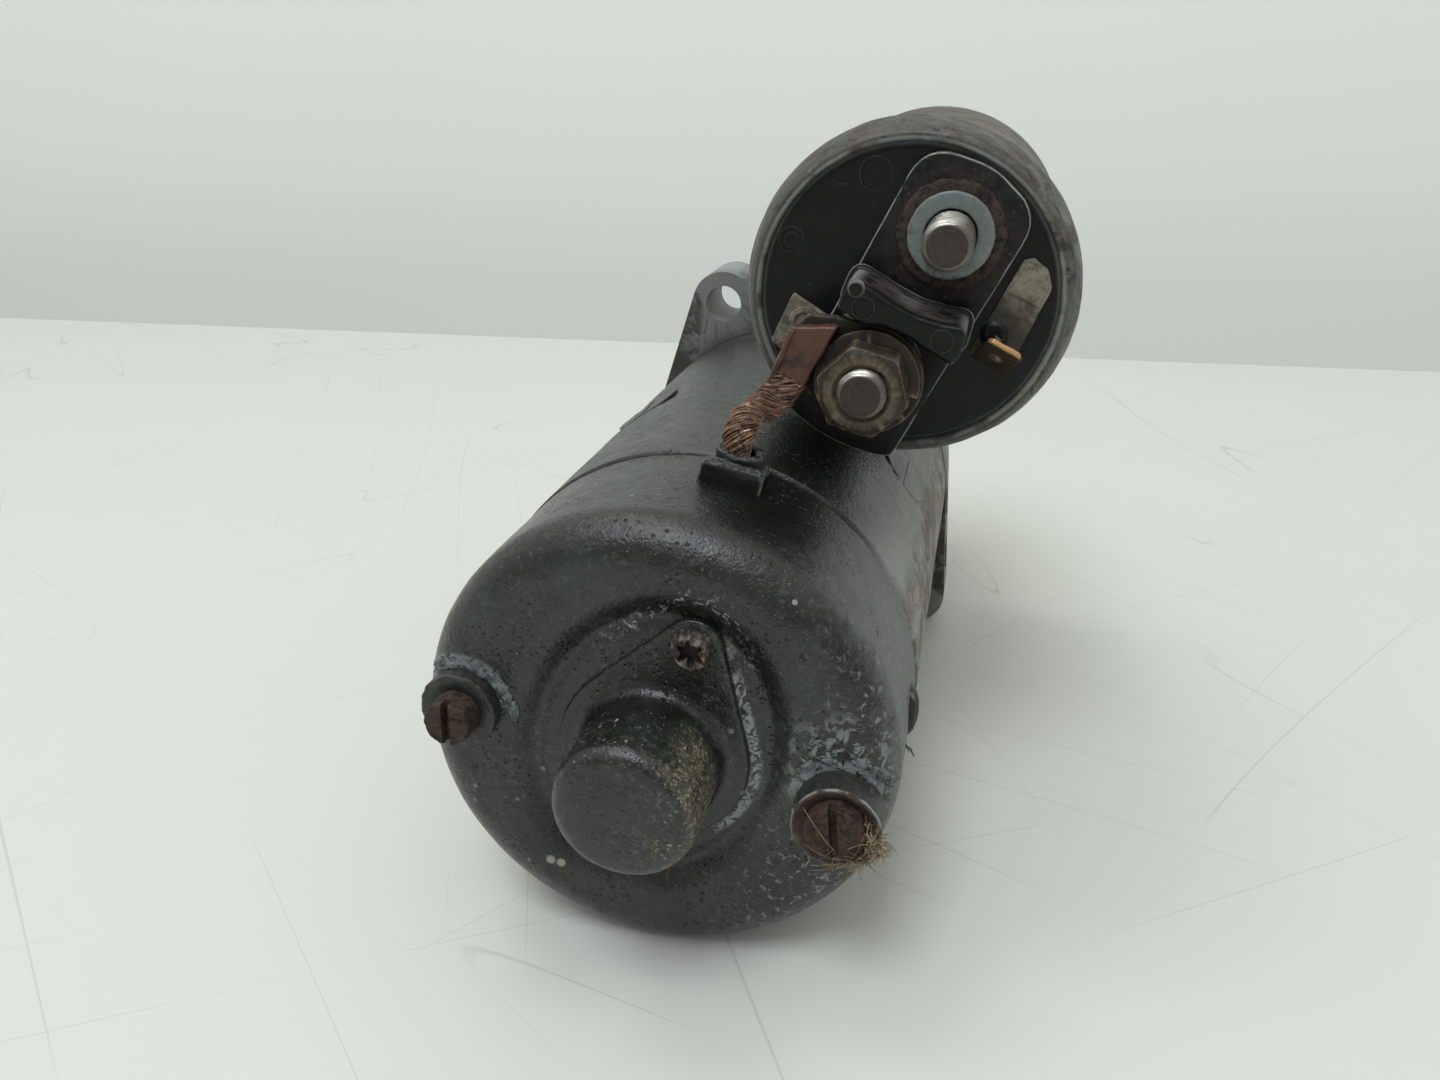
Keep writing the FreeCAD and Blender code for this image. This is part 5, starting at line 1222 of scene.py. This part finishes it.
def fibres():
    """Matted straw-like fibres at the right bolt and four long strands over its head."""
    rng = random.Random(5)
    cx, cz = polar(BOLT_CIRCLE, BOLT_ANGLES[0])
    lean = math.degrees(LEAN)
    parts = []
    for _ in range(FIBRES):
        knot = rng.random() < 0.72
        a = math.radians(lean + (rng.gauss(-22, 17) if knot else rng.gauss(-62, 34)))
        r = rng.gauss(6.1, 0.7) if knot else rng.uniform(4.2, 6.8)
        start = Vector((cx + r * math.cos(a), HEAD_TOP + rng.uniform(-0.2, 2.6), cz + r * math.sin(a)))
        heading = Vector((rng.uniform(-1, 1), rng.uniform(-0.4, 0.4), rng.uniform(-1, 1))).normalized()
        curl = Vector((rng.uniform(-1, 1), rng.uniform(-0.6, 0.6), rng.uniform(-1, 1))) * 0.5
        length = rng.uniform(0.8, 3.2)
        path = []
        for _ in range(9):
            path.append(tuple(start))
            start = start + heading * length / 8
            heading = (heading + curl / 3).normalized()
        parts.append(sweep(path, rng.uniform(0.035, 0.10), 5))
    long_ones = (((-4.6, 5.2), (0.2, -1.9), 0.055), ((-4.2, -1.6), (2.2, -3.2), 0.045),
                 ((4.8, 2.0), (0.6, -5.4), 0.05), ((-3.2, -6.2), (5.4, -1.2), 0.045))
    for (x0, z0), (x1, z1), r in long_ones:
        path = []
        for t in np.linspace(0, 1, 15):
            bow = 0.8 * math.sin(3.14 * t)
            n = x0 + (x1 - x0) * t + 0.5 * bow
            u = z0 + (z1 - z0) * t - bow
            path.append((cx + n * math.cos(LEAN) - u * math.sin(LEAN), HEAD_TOP - 0.5 - 0.3 * bow,
                         cz + n * math.sin(LEAN) + u * math.cos(LEAN)))
        parts.append(sweep(path, r, 5))
    return join(*parts)


piece("straw_fibres", fibres(), "rusty_screw", look=straw_look())


def twig():
    """Short forked twig that sticks out beside the cap."""
    x, z = polar(CAP_RADIUS - 0.3, 27.0)
    base = Vector((x, CAP_FACE + 12.6, z))
    parts = []
    for reach, drop, size in ((2.1, 1.9, 0.20), (1.5, 0.7, 0.12), (1.1, 1.7, 0.10)):
        path = []
        for t in np.linspace(0, 1, 10):
            kink = 0.16 * math.sin(9 * t + drop)
            path.append(tuple(base + Vector((reach * t, -drop * t + kink, 0.3 * kink))))
        parts.append(sweep(path, size * np.linspace(1, 0.5, 10), 6))
    return wear(join(*parts), 0.04, 0.4, 24.0, 2)


piece("twig", twig(), "rusty_screw", look=metal("twig", (0.060, 0.048, 0.028), 0.8, metallic=0.0))

# ---- grommet and plug ----
GROMMET_START = CAP_FACE + 20.3
GROMMET_FOOT = 36.0
GROMMET_TOP = 42.6
GROMMET_HALF = 5.2


def grommet():
    """Rubber grommet: hooked block with a lip in front and a hollow for the lead."""
    front = GROMMET_START

    def section(top, half):
        corners = [(GROMMET_FOOT, -half), (top, -half), (top, half), (GROMMET_FOOT, half)]
        return rounded(corners, [0, 1.2, 1.2, 0], 4, True)

    lip = slab(section(GROMMET_TOP, GROMMET_HALF), front, front + 3.4, 0.7, 4, True)
    body = slab(section(GROMMET_TOP - 1.3, GROMMET_HALF - 0.5), front + 3.0, front + 10.2, 0.6, 4, True)
    collar = turned(rounded([(2.4, -1.6), (3.9, -1.6), (4.2, 1.2), (2.4, 1.2)], 0.5, 3, True), 0, 0, 40, True)
    collar = moved(collar, OUTWARDS, (GROMMET_TOP - 0.2, front + 6.5, 0))
    side = GROMMET_HALF - 0.3
    tail = block((GROMMET_FOOT, front + 9.0, -side), (39.9, SEAM + 0.4, side), 0.5)
    return at_angle(wear(join(lip, body, collar, tail), 0.22, 1.6, 6.0, 3), GROMMET_ANGLE)


piece("grommet_block", grommet(), "black_rubber", ("lead_grommet",))


def plug():
    """Round rubber plug, pressed into the flank of the cap."""
    button = [(0.01, 1.35), (1.6, 1.3), (3.4, 0.75), (4.5, -0.15), (4.5, -2.5), (0.01, -2.5)]
    part = moved(turned(rounded(button, 0.5, 4), 0, 0, 48), OUTWARDS, (CAP_RADIUS - 0.1, CAP_FACE + 22.2, 0))
    return at_angle(wear(part, 0.12, 2.2, 7.0, 2), PLUG_ANGLE)


piece("plug_block", plug(), "black_rubber", ("drain_plug",))


# ---- yoke ----
def yoke():
    """Rolled tube with a rolled-over edge at each end and a butt seam along it."""
    count = 288
    stations = [(SEAM + 0.25, 1.2), (SEAM + 0.35, 0.45), (SEAM + 0.8, 0.0)]
    stations += [(y, 0.0) for y in np.linspace(SEAM + 2, YOKE_END - 2, 92)]
    stations += [(YOKE_END - 0.7, 0.05), (YOKE_END - 0.2, 0.6)]
    angles = np.degrees(circle(count))
    rings = []
    for y, deep in stations:
        r = np.full(count, YOKE_RADIUS - deep)
        r -= 0.28 * np.exp(-((angles - 205.0) / 0.6) ** 2)
        for screw in POLE_ANGLES:
            around = (angles - screw + 180) % 360 - 180
            d = np.hypot(np.radians(around) * YOKE_RADIUS, y - POLE_SCREW_Y)
            r -= 0.35 * np.exp(-((d - 8.2) / 0.55) ** 2) + 0.25 * (d < 7.6)
        rings.append(ring(r, y, count=count))
    bore = YOKE_RADIUS - 4.5
    rings += rings_at(0, 0, count, [(bore, YOKE_END - 0.2), (bore, SEAM + 0.25)])
    return wear(loop(rings), 0.09, 13.0, 9.0, 2)


piece("yoke_tube", yoke(), "yoke_paint", ("yoke",))


def pole_screw_heads():
    """Painted countersunk heads, each with a worn slot."""
    parts, cutters = [], []
    for index, angle in enumerate(POLE_ANGLES):
        profile = rounded([(0.01, 0), (7.6, 0), (7.2, -2.0), (0.01, -2.0)], [0, 0.4, 0, 0], 3)
        dense = [profile[0], (2.5, 0.0), (5.0, 0.0)] + profile[1:]
        head = moved(turned(dense, 0, 0, 56), OUTWARDS, (YOKE_RADIUS - 0.12, POLE_SCREW_Y, 0))
        parts.append(at_angle(wear(head, 0.10, 2.4, 12.0 + index, 2), angle))
        low, high = (YOKE_RADIUS - 1.5, POLE_SCREW_Y - 9, -0.8), (YOKE_RADIUS + 2, POLE_SCREW_Y + 9, 0.8)
        slot = block(low, high, 0.1, 2)
        cutters.append(at_angle(slot, angle))
    return join(*parts), cutters


pole_part, pole_slots = pole_screw_heads()
carve(piece("pole_screw_heads", pole_part, "yoke_paint", ("pole_screws",)), pole_slots)


# ---- solenoid can ----
def can():
    """Drawn can: a rolled rim that grips the moulded cap, a step behind it, a plain body."""
    bore, rim, rear, front = SOL_BORE, SOL_RIM_RADIUS, SOL_REAR, SOL_FRONT
    profile = rounded([
        (bore - 0.2, rear + 1.2), (bore, rear + 0.25), (bore + 0.5, rear), (bore + 1.3, rear + 0.1),
        (bore + 2.2, rear + 1.6), (rim - 0.5, rear + 4.6), (rim - 0.1, rear + 6.4), (rim, rear + 8.0),
        (rim - 0.1, rear + 9.3), (rim - 0.7, rear + 10.4), (SOL_BODY_RADIUS, rear + 11.4),
    ], 0.6, 3)
    profile += [(SOL_BODY_RADIUS, y) for y in np.linspace(rear + 13, front - 2, 34)]
    profile += [(SOL_BODY_RADIUS - 0.3, front - 0.6), (SOL_BODY_RADIUS - 1.0, front - 0.1),
                (8.0, front - 0.1), (8.0, front - 3.5), (bore - 0.2, front - 3.5)]
    return wear(turned(profile, 0, SOL_HEIGHT, 216, True), 0.14, 7.0, 14.0, 3)


piece("can_shell", can(), "can_steel", ("solenoid_housing",))


# ---- moulded solenoid cap ----
WALL_OUTLINE = (
    (-9.6, 1.4), (-5.2, 1.2), (-1.2, 1.0), (2.3, 1.1), (6.5, 2.0), (10.3, 3.4), (11.5, -1.2),
    (11.2, -3.1), (6.4, -2.9), (2.5, -2.6), (-1.0, -3.0), (-3.9, -4.4), (-7.6, -4.5), (-9.1, -3.9),
)


def arc_points(cx, cz, radius, start, end, count):
    """Points on an arc; start and end are in degrees."""
    return [(cx + radius * math.cos(math.radians(a)), cz + radius * math.sin(math.radians(a)))
            for a in np.linspace(start, end, count)]


def spread(outline, step):
    """Closed outline with extra points, so that no side is longer than step."""
    out = []
    for (x0, z0), (x1, z1) in zip(outline, outline[1:] + outline[:1]):
        parts = max(1, math.ceil(math.hypot(x1 - x0, z1 - z0) / step))
        out += [(x0 + (x1 - x0) * i / parts, z0 + (z1 - z0) * i / parts) for i in range(parts)]
    return out


def plateau_outline():
    """Raised band round the studs: straight sides, rounded inside the rim, over the rim at its foot."""
    left, right = STUD_X - 10.7, STUD_X + 10.7
    top, foot = 24.4, 27.6
    corners = [(right, -math.sqrt(foot ** 2 - right ** 2)), (right, math.sqrt(top ** 2 - right ** 2)),
               (1.5, top - 0.1),
               (left, math.sqrt(top ** 2 - left ** 2)), (left, -math.sqrt(foot ** 2 - left ** 2))]
    bottom = arc_points(0, 0, foot, 252, 290, 9)
    return spread(rounded(on_solenoid(corners + bottom), [1.5, 9, 14, 9, 1.5] + [0] * 9, 6, True), 1.4)


def moulded_cap():
    """Cap with its raised band, lug seat, wall between the studs and small moulding marks."""
    face = PLATE_FACE
    rim = SOL_BORE - 0.05
    flat = [(r, face) for r in np.linspace(0.01, SOL_BORE - 0.6, 26)]
    plate = turned(flat + [(rim, face + 0.4), (rim, face + 6), (0.01, face + 6)], 0, SOL_HEIGHT, 160)
    plateau = slab(plateau_outline(), PLATEAU_FACE, face + 0.6, 0.55, 5, fill=8)
    seat = slab(arc_points(STUD_X, LOWER_Z, 8.0, 0, 360, 61)[:-1], LUG_FACE + 1.8, PLATEAU_FACE + 1, 0.3, 3)
    corner_radii = [1.6, 3, 3, 3, 3, 1.4, 1.2, 1.2, 3, 3, 3, 2, 2, 1.2]
    smooth_wall = spread(rounded(on_solenoid(WALL_OUTLINE), corner_radii, 4, True), 0.8)
    wall = slab(smooth_wall, BARRIER_FACE, PLATEAU_FACE + 1, 0.85, 6, fill=3)
    foot = slab(smooth_wall, PLATEAU_FACE - 2.2, PLATEAU_FACE + 0.6, -0.9, 5)
    lump_outline = arc_points(-7.8, SOL_HEIGHT + 0.1, 1.35, 0, 360, 21)[:-1]
    lump = slab(lump_outline, BARRIER_FACE - 0.45, BARRIER_FACE + 1, 0.5, 3)
    parts = [plate, plateau, seat, wall, foot, lump]
    moulding_marks = (
        (-5.35, -1.9, 1.6, BARRIER_FACE), (7.8, -0.4, 1.6, BARRIER_FACE),
        (-14.3, 14.6, 2.5, face), (-21.6, -1.1, 1.9, face), (-21.5, -1.1, 1.0, face),
    )
    for x, z, r, y in moulding_marks:
        ridge = [(r - 0.3, y + 0.3), (r - 0.2, y - 0.14), (r + 0.2, y - 0.14), (r + 0.3, y + 0.3)]
        parts.append(turned(rounded(ridge, 0.08, 2, True), x, SOL_HEIGHT + z, 40, True))
    rivet = rounded([(0.01, face - 1.9), (1.5, face - 1.8), (2.3, face - 1.1), (2.3, face + 0.5)], 0.4, 3)
    parts.append(turned(rivet, RIVET_X, SOL_HEIGHT + RIVET_UP, 32))
    return wear(join(*parts), 0.05, 3.0, 15.0, 2)


piece("moulded_cap", moulded_cap(), "phenolic", ("solenoid_cap",))

# ---- terminals ----
TIP_30 = -118.0
TIP_45 = -124.8
STUD_RADIUS = 4.0
SEAT_FACE = PLATEAU_FACE - 0.6
SEAT_BACK = PLATEAU_FACE + 0.3
ZINC_FACE = SEAT_FACE - 1.0
ZINC_BACK = SEAT_FACE + 0.2
STUD_ROOT = PLATEAU_FACE + 0.5


def seat_ring():
    """Rusty ring that the upper stud's washer sits on."""
    corners = [(6.4, SEAT_FACE - 0.2), (8.2, SEAT_FACE - 0.15), (8.75, SEAT_FACE + 0.3),
               (8.75, SEAT_BACK), (6.4, SEAT_BACK)]
    return wear(turned(rounded(corners, 0.35, 4, True), STUD_X, UPPER_Z, 110, True), 0.26, 1.3, 16.0, 3)


def zinc_washer():
    corners = [(4.15, ZINC_FACE), (6.9, ZINC_FACE), (6.9, ZINC_BACK), (4.15, ZINC_BACK)]
    profile = rounded(corners, [0.4, 0.45, 0.1, 0.1], 4, True)
    return wear(turned(profile, STUD_X, UPPER_Z, 90, True), 0.10, 1.8, 17.0, 3)


piece("stud_seat", seat_ring(), "seat_rust", ("terminal_30_seat",))
piece("stud_washer", zinc_washer(), "zinc", ("terminal_30_washer",))
upper_stud = wear(thread(STUD_RADIUS, TIP_30, STUD_ROOT, STUD_X, UPPER_Z), 0.06, 1.0, 18.0, 2)
piece("stud_upper", upper_stud, "stud_steel", ("terminal_30_stud",), sharp=60)
lower_stud = wear(thread(STUD_RADIUS, TIP_45, STUD_ROOT, STUD_X, LOWER_Z), 0.07, 1.0, 19.0, 2)
piece("stud_lower", lower_stud, "stud_steel", ("terminal_45_stud",), sharp=60)


def nut():
    """Hexagon nut with curved bevels, a lead-in at the hole and bruised corners."""
    count = 144
    seat = LUG_FACE - 2.0
    top = seat - 6.3
    bore, face = 4.05, 5.95
    fold = (np.degrees(circle(count)) - 12.0) % 60.0 - 30.0
    flat = np.minimum(6.5 / np.cos(np.radians(fold)), 7.35)
    slope = math.tan(math.radians(28))
    pairs = [(bore, top + 1.4), (4.1, top + 0.5), (4.7, top), (face, top)]
    for t in (0.25, 0.5, 0.75, 1.0):
        r = face + (flat - face) * t
        pairs.append((r, top + (r - face) * slope))
    pairs += [(flat, top + 2.2), (flat, seat - 1.2), (flat, seat - 0.25), (flat - 0.3, seat), (bore, seat)]
    return wear(loop(rings_at(STUD_X, LOWER_Z, count, pairs)), 0.16, 1.8, 20.0, 3)


piece("stud_nut", nut(), "old_brass", ("terminal_45_nut",), sharp=30)


def spring_washer():
    """Split ring, one end a little proud of the other."""
    middle = LUG_FACE - 0.85
    corners = rounded([(5.0, -0.55), (8.5, -0.55), (8.5, 0.55), (5.0, 0.55)], 0.22, 3, True)
    sections = []
    for t in np.linspace(0, 1, 73):
        x, z = polar(1, 12 + 336 * t)
        sections.append([(STUD_X + r * x, middle - 0.5 * t + d, LOWER_Z + r * z) for r, d in corners])
    return wear(skin(sections), 0.07, 1.4, 21.0, 2)


piece("split_washer", spring_washer(), "stud_steel", ("terminal_45_washer",), look=LOOKS["old_brass"])


def lug():
    """Pressed lug: a round eye that runs into a flat wing beside the stud."""
    eye = arc_points(STUD_X, LOWER_Z, 9.0, -128, 122, 44)
    wing = [(-8.2, 6.6), (-12.6, 4.6), (-13.6, 1.0), (-13.2, -6.6), (-7.8, -7.4)]
    wing = [(x, LOWER_Z + z) for x, z in wing]
    outline = rounded(eye + wing, [0] * len(eye) + [0.8] * len(wing), 3, True)
    return wear(slab(outline, LUG_FACE, LUG_FACE + 1.8, 0.45, 4, True, fill=4), 0.16, 2.2, 22.0, 3)


piece("lug_plate", lug(), "old_brass", ("terminal_45_lug",))


def square_plate():
    """Square plate with a pressed ring where the winding's end is welded."""
    corners = on_solenoid([(-17.0, -8.5), (-9.4, -9.2), (-9.4, -17.0), (-12.6, -18.6), (-16.6, -17.6)])
    outline = spread(rounded(corners, [0.4, 0.4, 0.8, 1.0, 0.8], 3, True), 0.9)
    face = PLATE_FACE
    plate = slab(outline, face - 1.3, face + 0.3, 0.3, 3, fill=4)
    pressed = [(1.2, face - 1.2), (1.5, face - 1.7), (2.3, face - 1.6), (2.7, face - 1.1)]
    dimple = turned(rounded(pressed, 0.3, 3, True), -13.2, SOL_HEIGHT - 11.9, 36, True)
    return wear(join(plate, dimple), 0.10, 1.8, 23.0, 2)


piece("coil_plate", square_plate(), "tin_tab", ("coil_end_plate",))


BLADE_X = 17.6
BLADE_ROOT = SOL_HEIGHT - 2.8
BLADE_LENGTH = 8.8
BLADE_TILT = 35.0
BLADE_BOSS = 4.2


def strip():
    """Terminal 50: a strip on the face with a rounded upper end and a pressed step."""
    corners = on_solenoid([(13.5, -2.8), (20.7, -2.8), (20.4, 2.2), (19.5, 12.6),
                           (17.4, 14.8), (14.4, 15.3), (13.2, 14.2), (13.3, 6.0)])
    outline = spread(rounded(corners, [0.5, 0.8, 2, 2.2, 1.8, 0.8, 0.5, 1], 4, True), 0.8)
    plate = slab(outline, PLATE_FACE - 0.9, PLATE_FACE + 0.2, 0.3, 3, fill=5)
    raised = spread(on_solenoid([(13.6, 8.6), (19.2, 9.0), (18.9, 12.4), (17.2, 14.2), (14.0, 14.4)]), 0.8)
    step = slab(raised, PLATE_FACE - 1.25, PLATE_FACE, 0.45, 3, fill=3)
    return wear(join(plate, step), 0.13, 1.6, 24.0, 3)


def blade():
    """6.3 mm blade with bevelled corners and a pressed dot, rising out from the strip's foot."""
    half = 3.15
    outline = [(-half, -0.4), (half, -0.4), (half, BLADE_LENGTH - 1.0), (half - 0.9, BLADE_LENGTH),
               (-half + 0.7, BLADE_LENGTH), (-half, BLADE_LENGTH - 0.8)]
    outline = spread(rounded(outline, [0, 0, 0.3, 0.3, 0.3, 0.3], 3, True), 0.7)
    plate = slab(outline, -0.42, 0.42, 0.16, 3, True, fill=3)
    boss = turned(rounded([(0.01, -0.75), (0.5, -0.72), (0.9, -0.3)], 0.2, 2), -0.1, BLADE_BOSS, 20)
    fold = wear(join(plate, boss), 0.06, 1.5, 25.0, 2)
    stand = np.array([(1, 0, 0), (0, 0, -1), (0, 1, 0)], float)
    tilted = turn_matrix(-BLADE_TILT, "X") @ stand
    return moved(fold, tilted, (BLADE_X, PLATE_FACE - 0.3, BLADE_ROOT))


def along_blade(y, z):
    """Distance from the fold towards the blade's end."""
    tilt = math.radians(BLADE_TILT)
    return (PLATE_FACE - 0.3 - y) * math.cos(tilt) + (z - BLADE_ROOT) * math.sin(tilt)


piece("terminal_strip", strip(), "tin_tab", ("terminal_50_tab",))
blade_piece = piece("terminal_blade", blade(), "tin_tab", look=blade_look())
mark(blade_piece, "blade_end", lambda x, y, z: BLADE_LENGTH - along_blade(y, z))
mark(blade_piece, "blade_boss", lambda x, y, z: np.hypot(x - BLADE_X + 0.1, along_blade(y, z) - BLADE_BOSS))


# ---- field lead ----
def bar():
    """End of the braid pressed into a flat bar with a raised left edge and a folded top."""
    corners = on_solenoid([(-13.1, -21.6), (-7.5, -19.2), (-7.2, -6.3), (-13.8, -10.1)])
    shape = spread(rounded(corners, [0.8, 0.8, 0.3, 0.5], 3, True), 0.8)
    body = slab(shape, LUG_FACE - 2.8, LUG_FACE + 0.1, 0.4, 4, True, fill=4)
    lip = on_solenoid([(-13.2, -21.0), (-12.3, -20.8), (-12.9, -10.4), (-13.8, -10.2)])
    lip = spread(rounded(lip, 0.3, 2, True), 0.8)
    edge = slab(lip, LUG_FACE - 3.35, LUG_FACE - 1.0, 0.3, 3, True)
    return wear(join(body, edge), 0.24, 2.4, 26.0, 3)


piece("pressed_bar", bar(), "copper_braid", look=bar_look())


def braid():
    """Flattened bundle of twisted strands: out of the bar, over a sharp bend, down to the grommet."""
    rng = random.Random(3)
    route = ((-10.2, -117.0, -17.6), (-10.4, -117.4, -21.2), (-11.6, -119.0, -23.4), (-13.2, -121.6, -25.2),
             (-12.8, -123.2, -28.0), (-11.6, -123.6, -31.0), (-10.6, -123.6, -35.4))
    knots = np.array([(x, y, SOL_HEIGHT + z) for x, y, z in route])
    steps = np.linspace(0, len(knots) - 1, 64)
    centre = np.stack([np.interp(steps, np.arange(len(knots)), knots[:, k]) for k in range(3)], 1)
    for _ in range(24):
        centre[1:-1] = (centre[:-2] + centre[1:-1] * 2 + centre[2:]) / 4
    t = np.linspace(0, 1, 64)
    width = 2.7 - 0.9 * smooth(0.25, 0.55, t) + 0.55 * np.exp(-((t - 0.68) / 0.12) ** 2)
    thick = 1.0 + 0.55 * smooth(0.3, 0.6, t)
    tangent = np.gradient(centre, axis=0)
    tangent /= np.linalg.norm(tangent, axis=1, keepdims=True)
    across = np.cross(tangent, (0, 1, 0.25))
    across /= np.linalg.norm(across, axis=1, keepdims=True)
    deep = np.cross(tangent, across)
    parts = []

    def round_about(middle, phase, wide, high):
        """Path that winds round another one, on an oval."""
        return middle + (wide * np.cos(phase))[:, None] * across + (high * np.sin(phase))[:, None] * deep

    for group in circle(9):
        hub = round_about(centre, group + t * 2 * math.pi * 1.3, 0.80 * width, 0.62 * thick)
        for strand in circle(9):
            reach = 0.62 * (1 + 0.25 * np.sin(t * 7 + rng.uniform(0, 6)))
            path = round_about(hub, strand + t * 2 * math.pi * 3.0, reach, reach)
            jitter = np.array([rng.uniform(-1, 1) for _ in range(3)]) * 0.22
            wave = np.sin(t * 11 + rng.uniform(0, 6))[:, None] * jitter
            parts.append(sweep(path + wave, 0.19, 5))
    for _ in range(46):
        i = rng.randint(12, 56)
        side = rng.choice((-1, 1))
        d = across[i] * side * rng.uniform(0.3, 1) + deep[i] * rng.uniform(-1, 1)
        d += tangent[i] * rng.uniform(-0.3, 1)
        start = centre[i] + across[i] * side * width[i] * rng.uniform(0.5, 1) + deep[i] * rng.uniform(-1, 1)
        path = [start + d * q * 0.26 - tangent[i] * 0.02 * q * q for q in range(7)]
        parts.append(sweep(path, 0.07, 4))
    return join(*parts)


piece("braided_lead", braid(), "copper_braid", ("field_lead",))


# ---- return spring, built at one length; the real one shortens with the plunger ----
SPRING_START = -31.9
SPRING_END = -17.6
SPRING_TURNS = 3
COIL_RADIUS = 8.6
WIRE = 0.5


def return_spring():
    """Helical spring between the coil's collar and the plunger's."""
    t = np.linspace(0, 1, SPRING_TURNS * 48 + 1)
    a = 2 * math.pi * SPRING_TURNS * t
    y = SPRING_START + WIRE + (SPRING_END - SPRING_START - 2 * WIRE) * t
    path = np.stack((COIL_RADIUS * np.cos(a), y, SOL_HEIGHT + COIL_RADIUS * np.sin(a)), 1)
    return sweep(path, WIRE, 10)


spring = piece("return_spring", return_spring(), "spring_steel", ("plunger_return_spring",))
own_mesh(spring)

# ---- CAD nodes that stay get their slot's material ----
for entry in frame["record"]["subparts"]:
    node = frame["nodes"][entry["node"]]
    if not node.hide_render:
        node.data.materials.clear()
        node.data.materials.append(LOOKS[entry["material_slot"]])


# ---- table, backdrop, light, camera ----
def table_look():
    """Pale smooth table top with faint curved scratches."""
    look = Look("table_top", (0.71, 0.72, 0.67), 0.42, 0.0, 0.35)
    look.tint(look.noise(90, 4, 0.6, seed=201), 0.975, 1.02)
    flat = look.mm
    scratches = ((211, 0.35, 0.10, 0.50), (212, -0.55, 0.07, 0.47), (213, 1.15, 0.08, 0.53),
                 (214, 0.75, 0.05, 0.49), (215, -1.0, 0.12, 0.51), (216, 2.2, 0.06, 0.52))
    for seed, angle, thin, level in scratches:
        inputs = {"Vector": flat, "Angle": angle}
        look.mm = look.node("VectorRotate", inputs, rotation_type="Z_AXIS").outputs[0]
        value = look.noise(36, 0, 0.5, seed=seed, stretch=(thin, 1, 1))
        off = look.math("ABSOLUTE", look.math("SUBTRACT", value, level))
        part = look.patch(0.52, 0.60, 70, 2, 0.5, seed=seed + 20, stretch=(0.6, 1, 1))
        look.layer((look.ramp(off, 0.0020, 0.0006), part, 0.30), (0.34, 0.34, 0.31), 0.5)
    look.mm = flat
    speck = look.patch(0.80, 0.83, 0.9, 2, 0.5, seed=230)
    look.layer((speck, 0.5), (0.38, 0.37, 0.33), 0.6)
    look.bumps(0.01, 2.0, 3, 0.5, seed=231)
    return look.done()


def stage_plane(name, corners, look):
    obj = new_object(name, corners, [(0, 1, 2, 3)])
    obj.data.materials.append(look)


EDGE_Y = 0.312
floor_z = FLOOR_Z - 0.0001
table_corners = ((-2.5, -2.5), (2.5, -2.5), (2.5, EDGE_Y), (-2.5, EDGE_Y - 0.04))
stage_plane("table", [(x, y, floor_z) for x, y in table_corners], table_look())
wall_look = Look("backdrop", (0.70, 0.72, 0.675), 0.9, 0.0, 0.1)
wall_look.glow = 0.33
wall_look.tint(wall_look.noise(300, 2, 0.5, seed=240), 0.985, 1.015)
wall_corners = [(-3, 0.42, -0.6), (3, 0.46, -0.6), (3, 0.46, 2.5), (-3, 0.42, 2.5)]
stage_plane("backdrop", wall_corners, wall_look.done())


def area_light(name, place, aim, size, power, color):
    data = bpy.data.lights.new(name, "AREA")
    data.energy = power
    data.color = color
    data.shape = "SQUARE"
    data.size = size
    obj = bpy.data.objects.new(name, data)
    obj.location = place
    obj.rotation_euler = (Vector(aim) - Vector(place)).to_track_quat("-Z", "Y").to_euler()
    bpy.context.scene.collection.objects.link(obj)


def studio_world():
    """Soft daylight: bright above and behind the object, dim behind the camera."""
    world = bpy.data.worlds.new("studio")
    world.use_nodes = True
    tree = world.node_tree
    place = add_node(tree, "TexCoord", {}).outputs["Generated"]
    toward = {0: place, 1: (-0.10, 0.50, 0.86)}
    height = add_node(tree, "VectorMath", toward, operation="DOT_PRODUCT").outputs["Value"]
    limits = {"From Min": -0.35, "From Max": 0.75, "To Min": 0.21, "To Max": 0.95, "Value": height}
    strength = add_node(tree, "MapRange", limits, interpolation_type="SMOOTHSTEP").outputs[0]
    background = tree.nodes["Background"]
    tree.links.new(strength, background.inputs["Strength"])
    background.inputs["Color"].default_value = (0.93, 0.96, 0.95, 1)
    return world


area_light("overhead", (-0.85, 0.50, 2.30), (0.0, -0.05, 0.0), 0.95, 16.5, (1.0, 1.0, 0.98))
area_light("front_sky", (-0.10, -0.75, 1.25), (0.0, -0.1, 0.0), 0.50, 7.6, (0.90, 0.95, 1.0))
bpy.context.scene.world = studio_world()
bpy.context.scene.view_settings.view_transform = "Standard"

YAW = math.radians(13.82)
PITCH = math.radians(23.12)
ROLL = math.radians(-0.97)
forward = Vector((-math.sin(YAW) * math.cos(PITCH), math.cos(YAW) * math.cos(PITCH), -math.sin(PITCH)))
right = Vector((math.cos(YAW), math.sin(YAW), 0))
up = right.cross(forward)
right, up = (math.cos(ROLL) * right + math.sin(ROLL) * up, math.cos(ROLL) * up - math.sin(ROLL) * right)
camera_data = bpy.data.cameras.new("camera")
camera_data.lens = 27.68
camera_data.sensor_width = 36
camera_data.clip_start = 0.01
camera_data.clip_end = 20
camera = bpy.data.objects.new("camera", camera_data)
turn = Matrix((right, up, -forward)).transposed().to_4x4()
camera.matrix_world = Matrix.Translation((0.04702, -0.29065, 0.09980)) @ turn
bpy.context.scene.collection.objects.link(camera)
bpy.context.scene.camera = camera
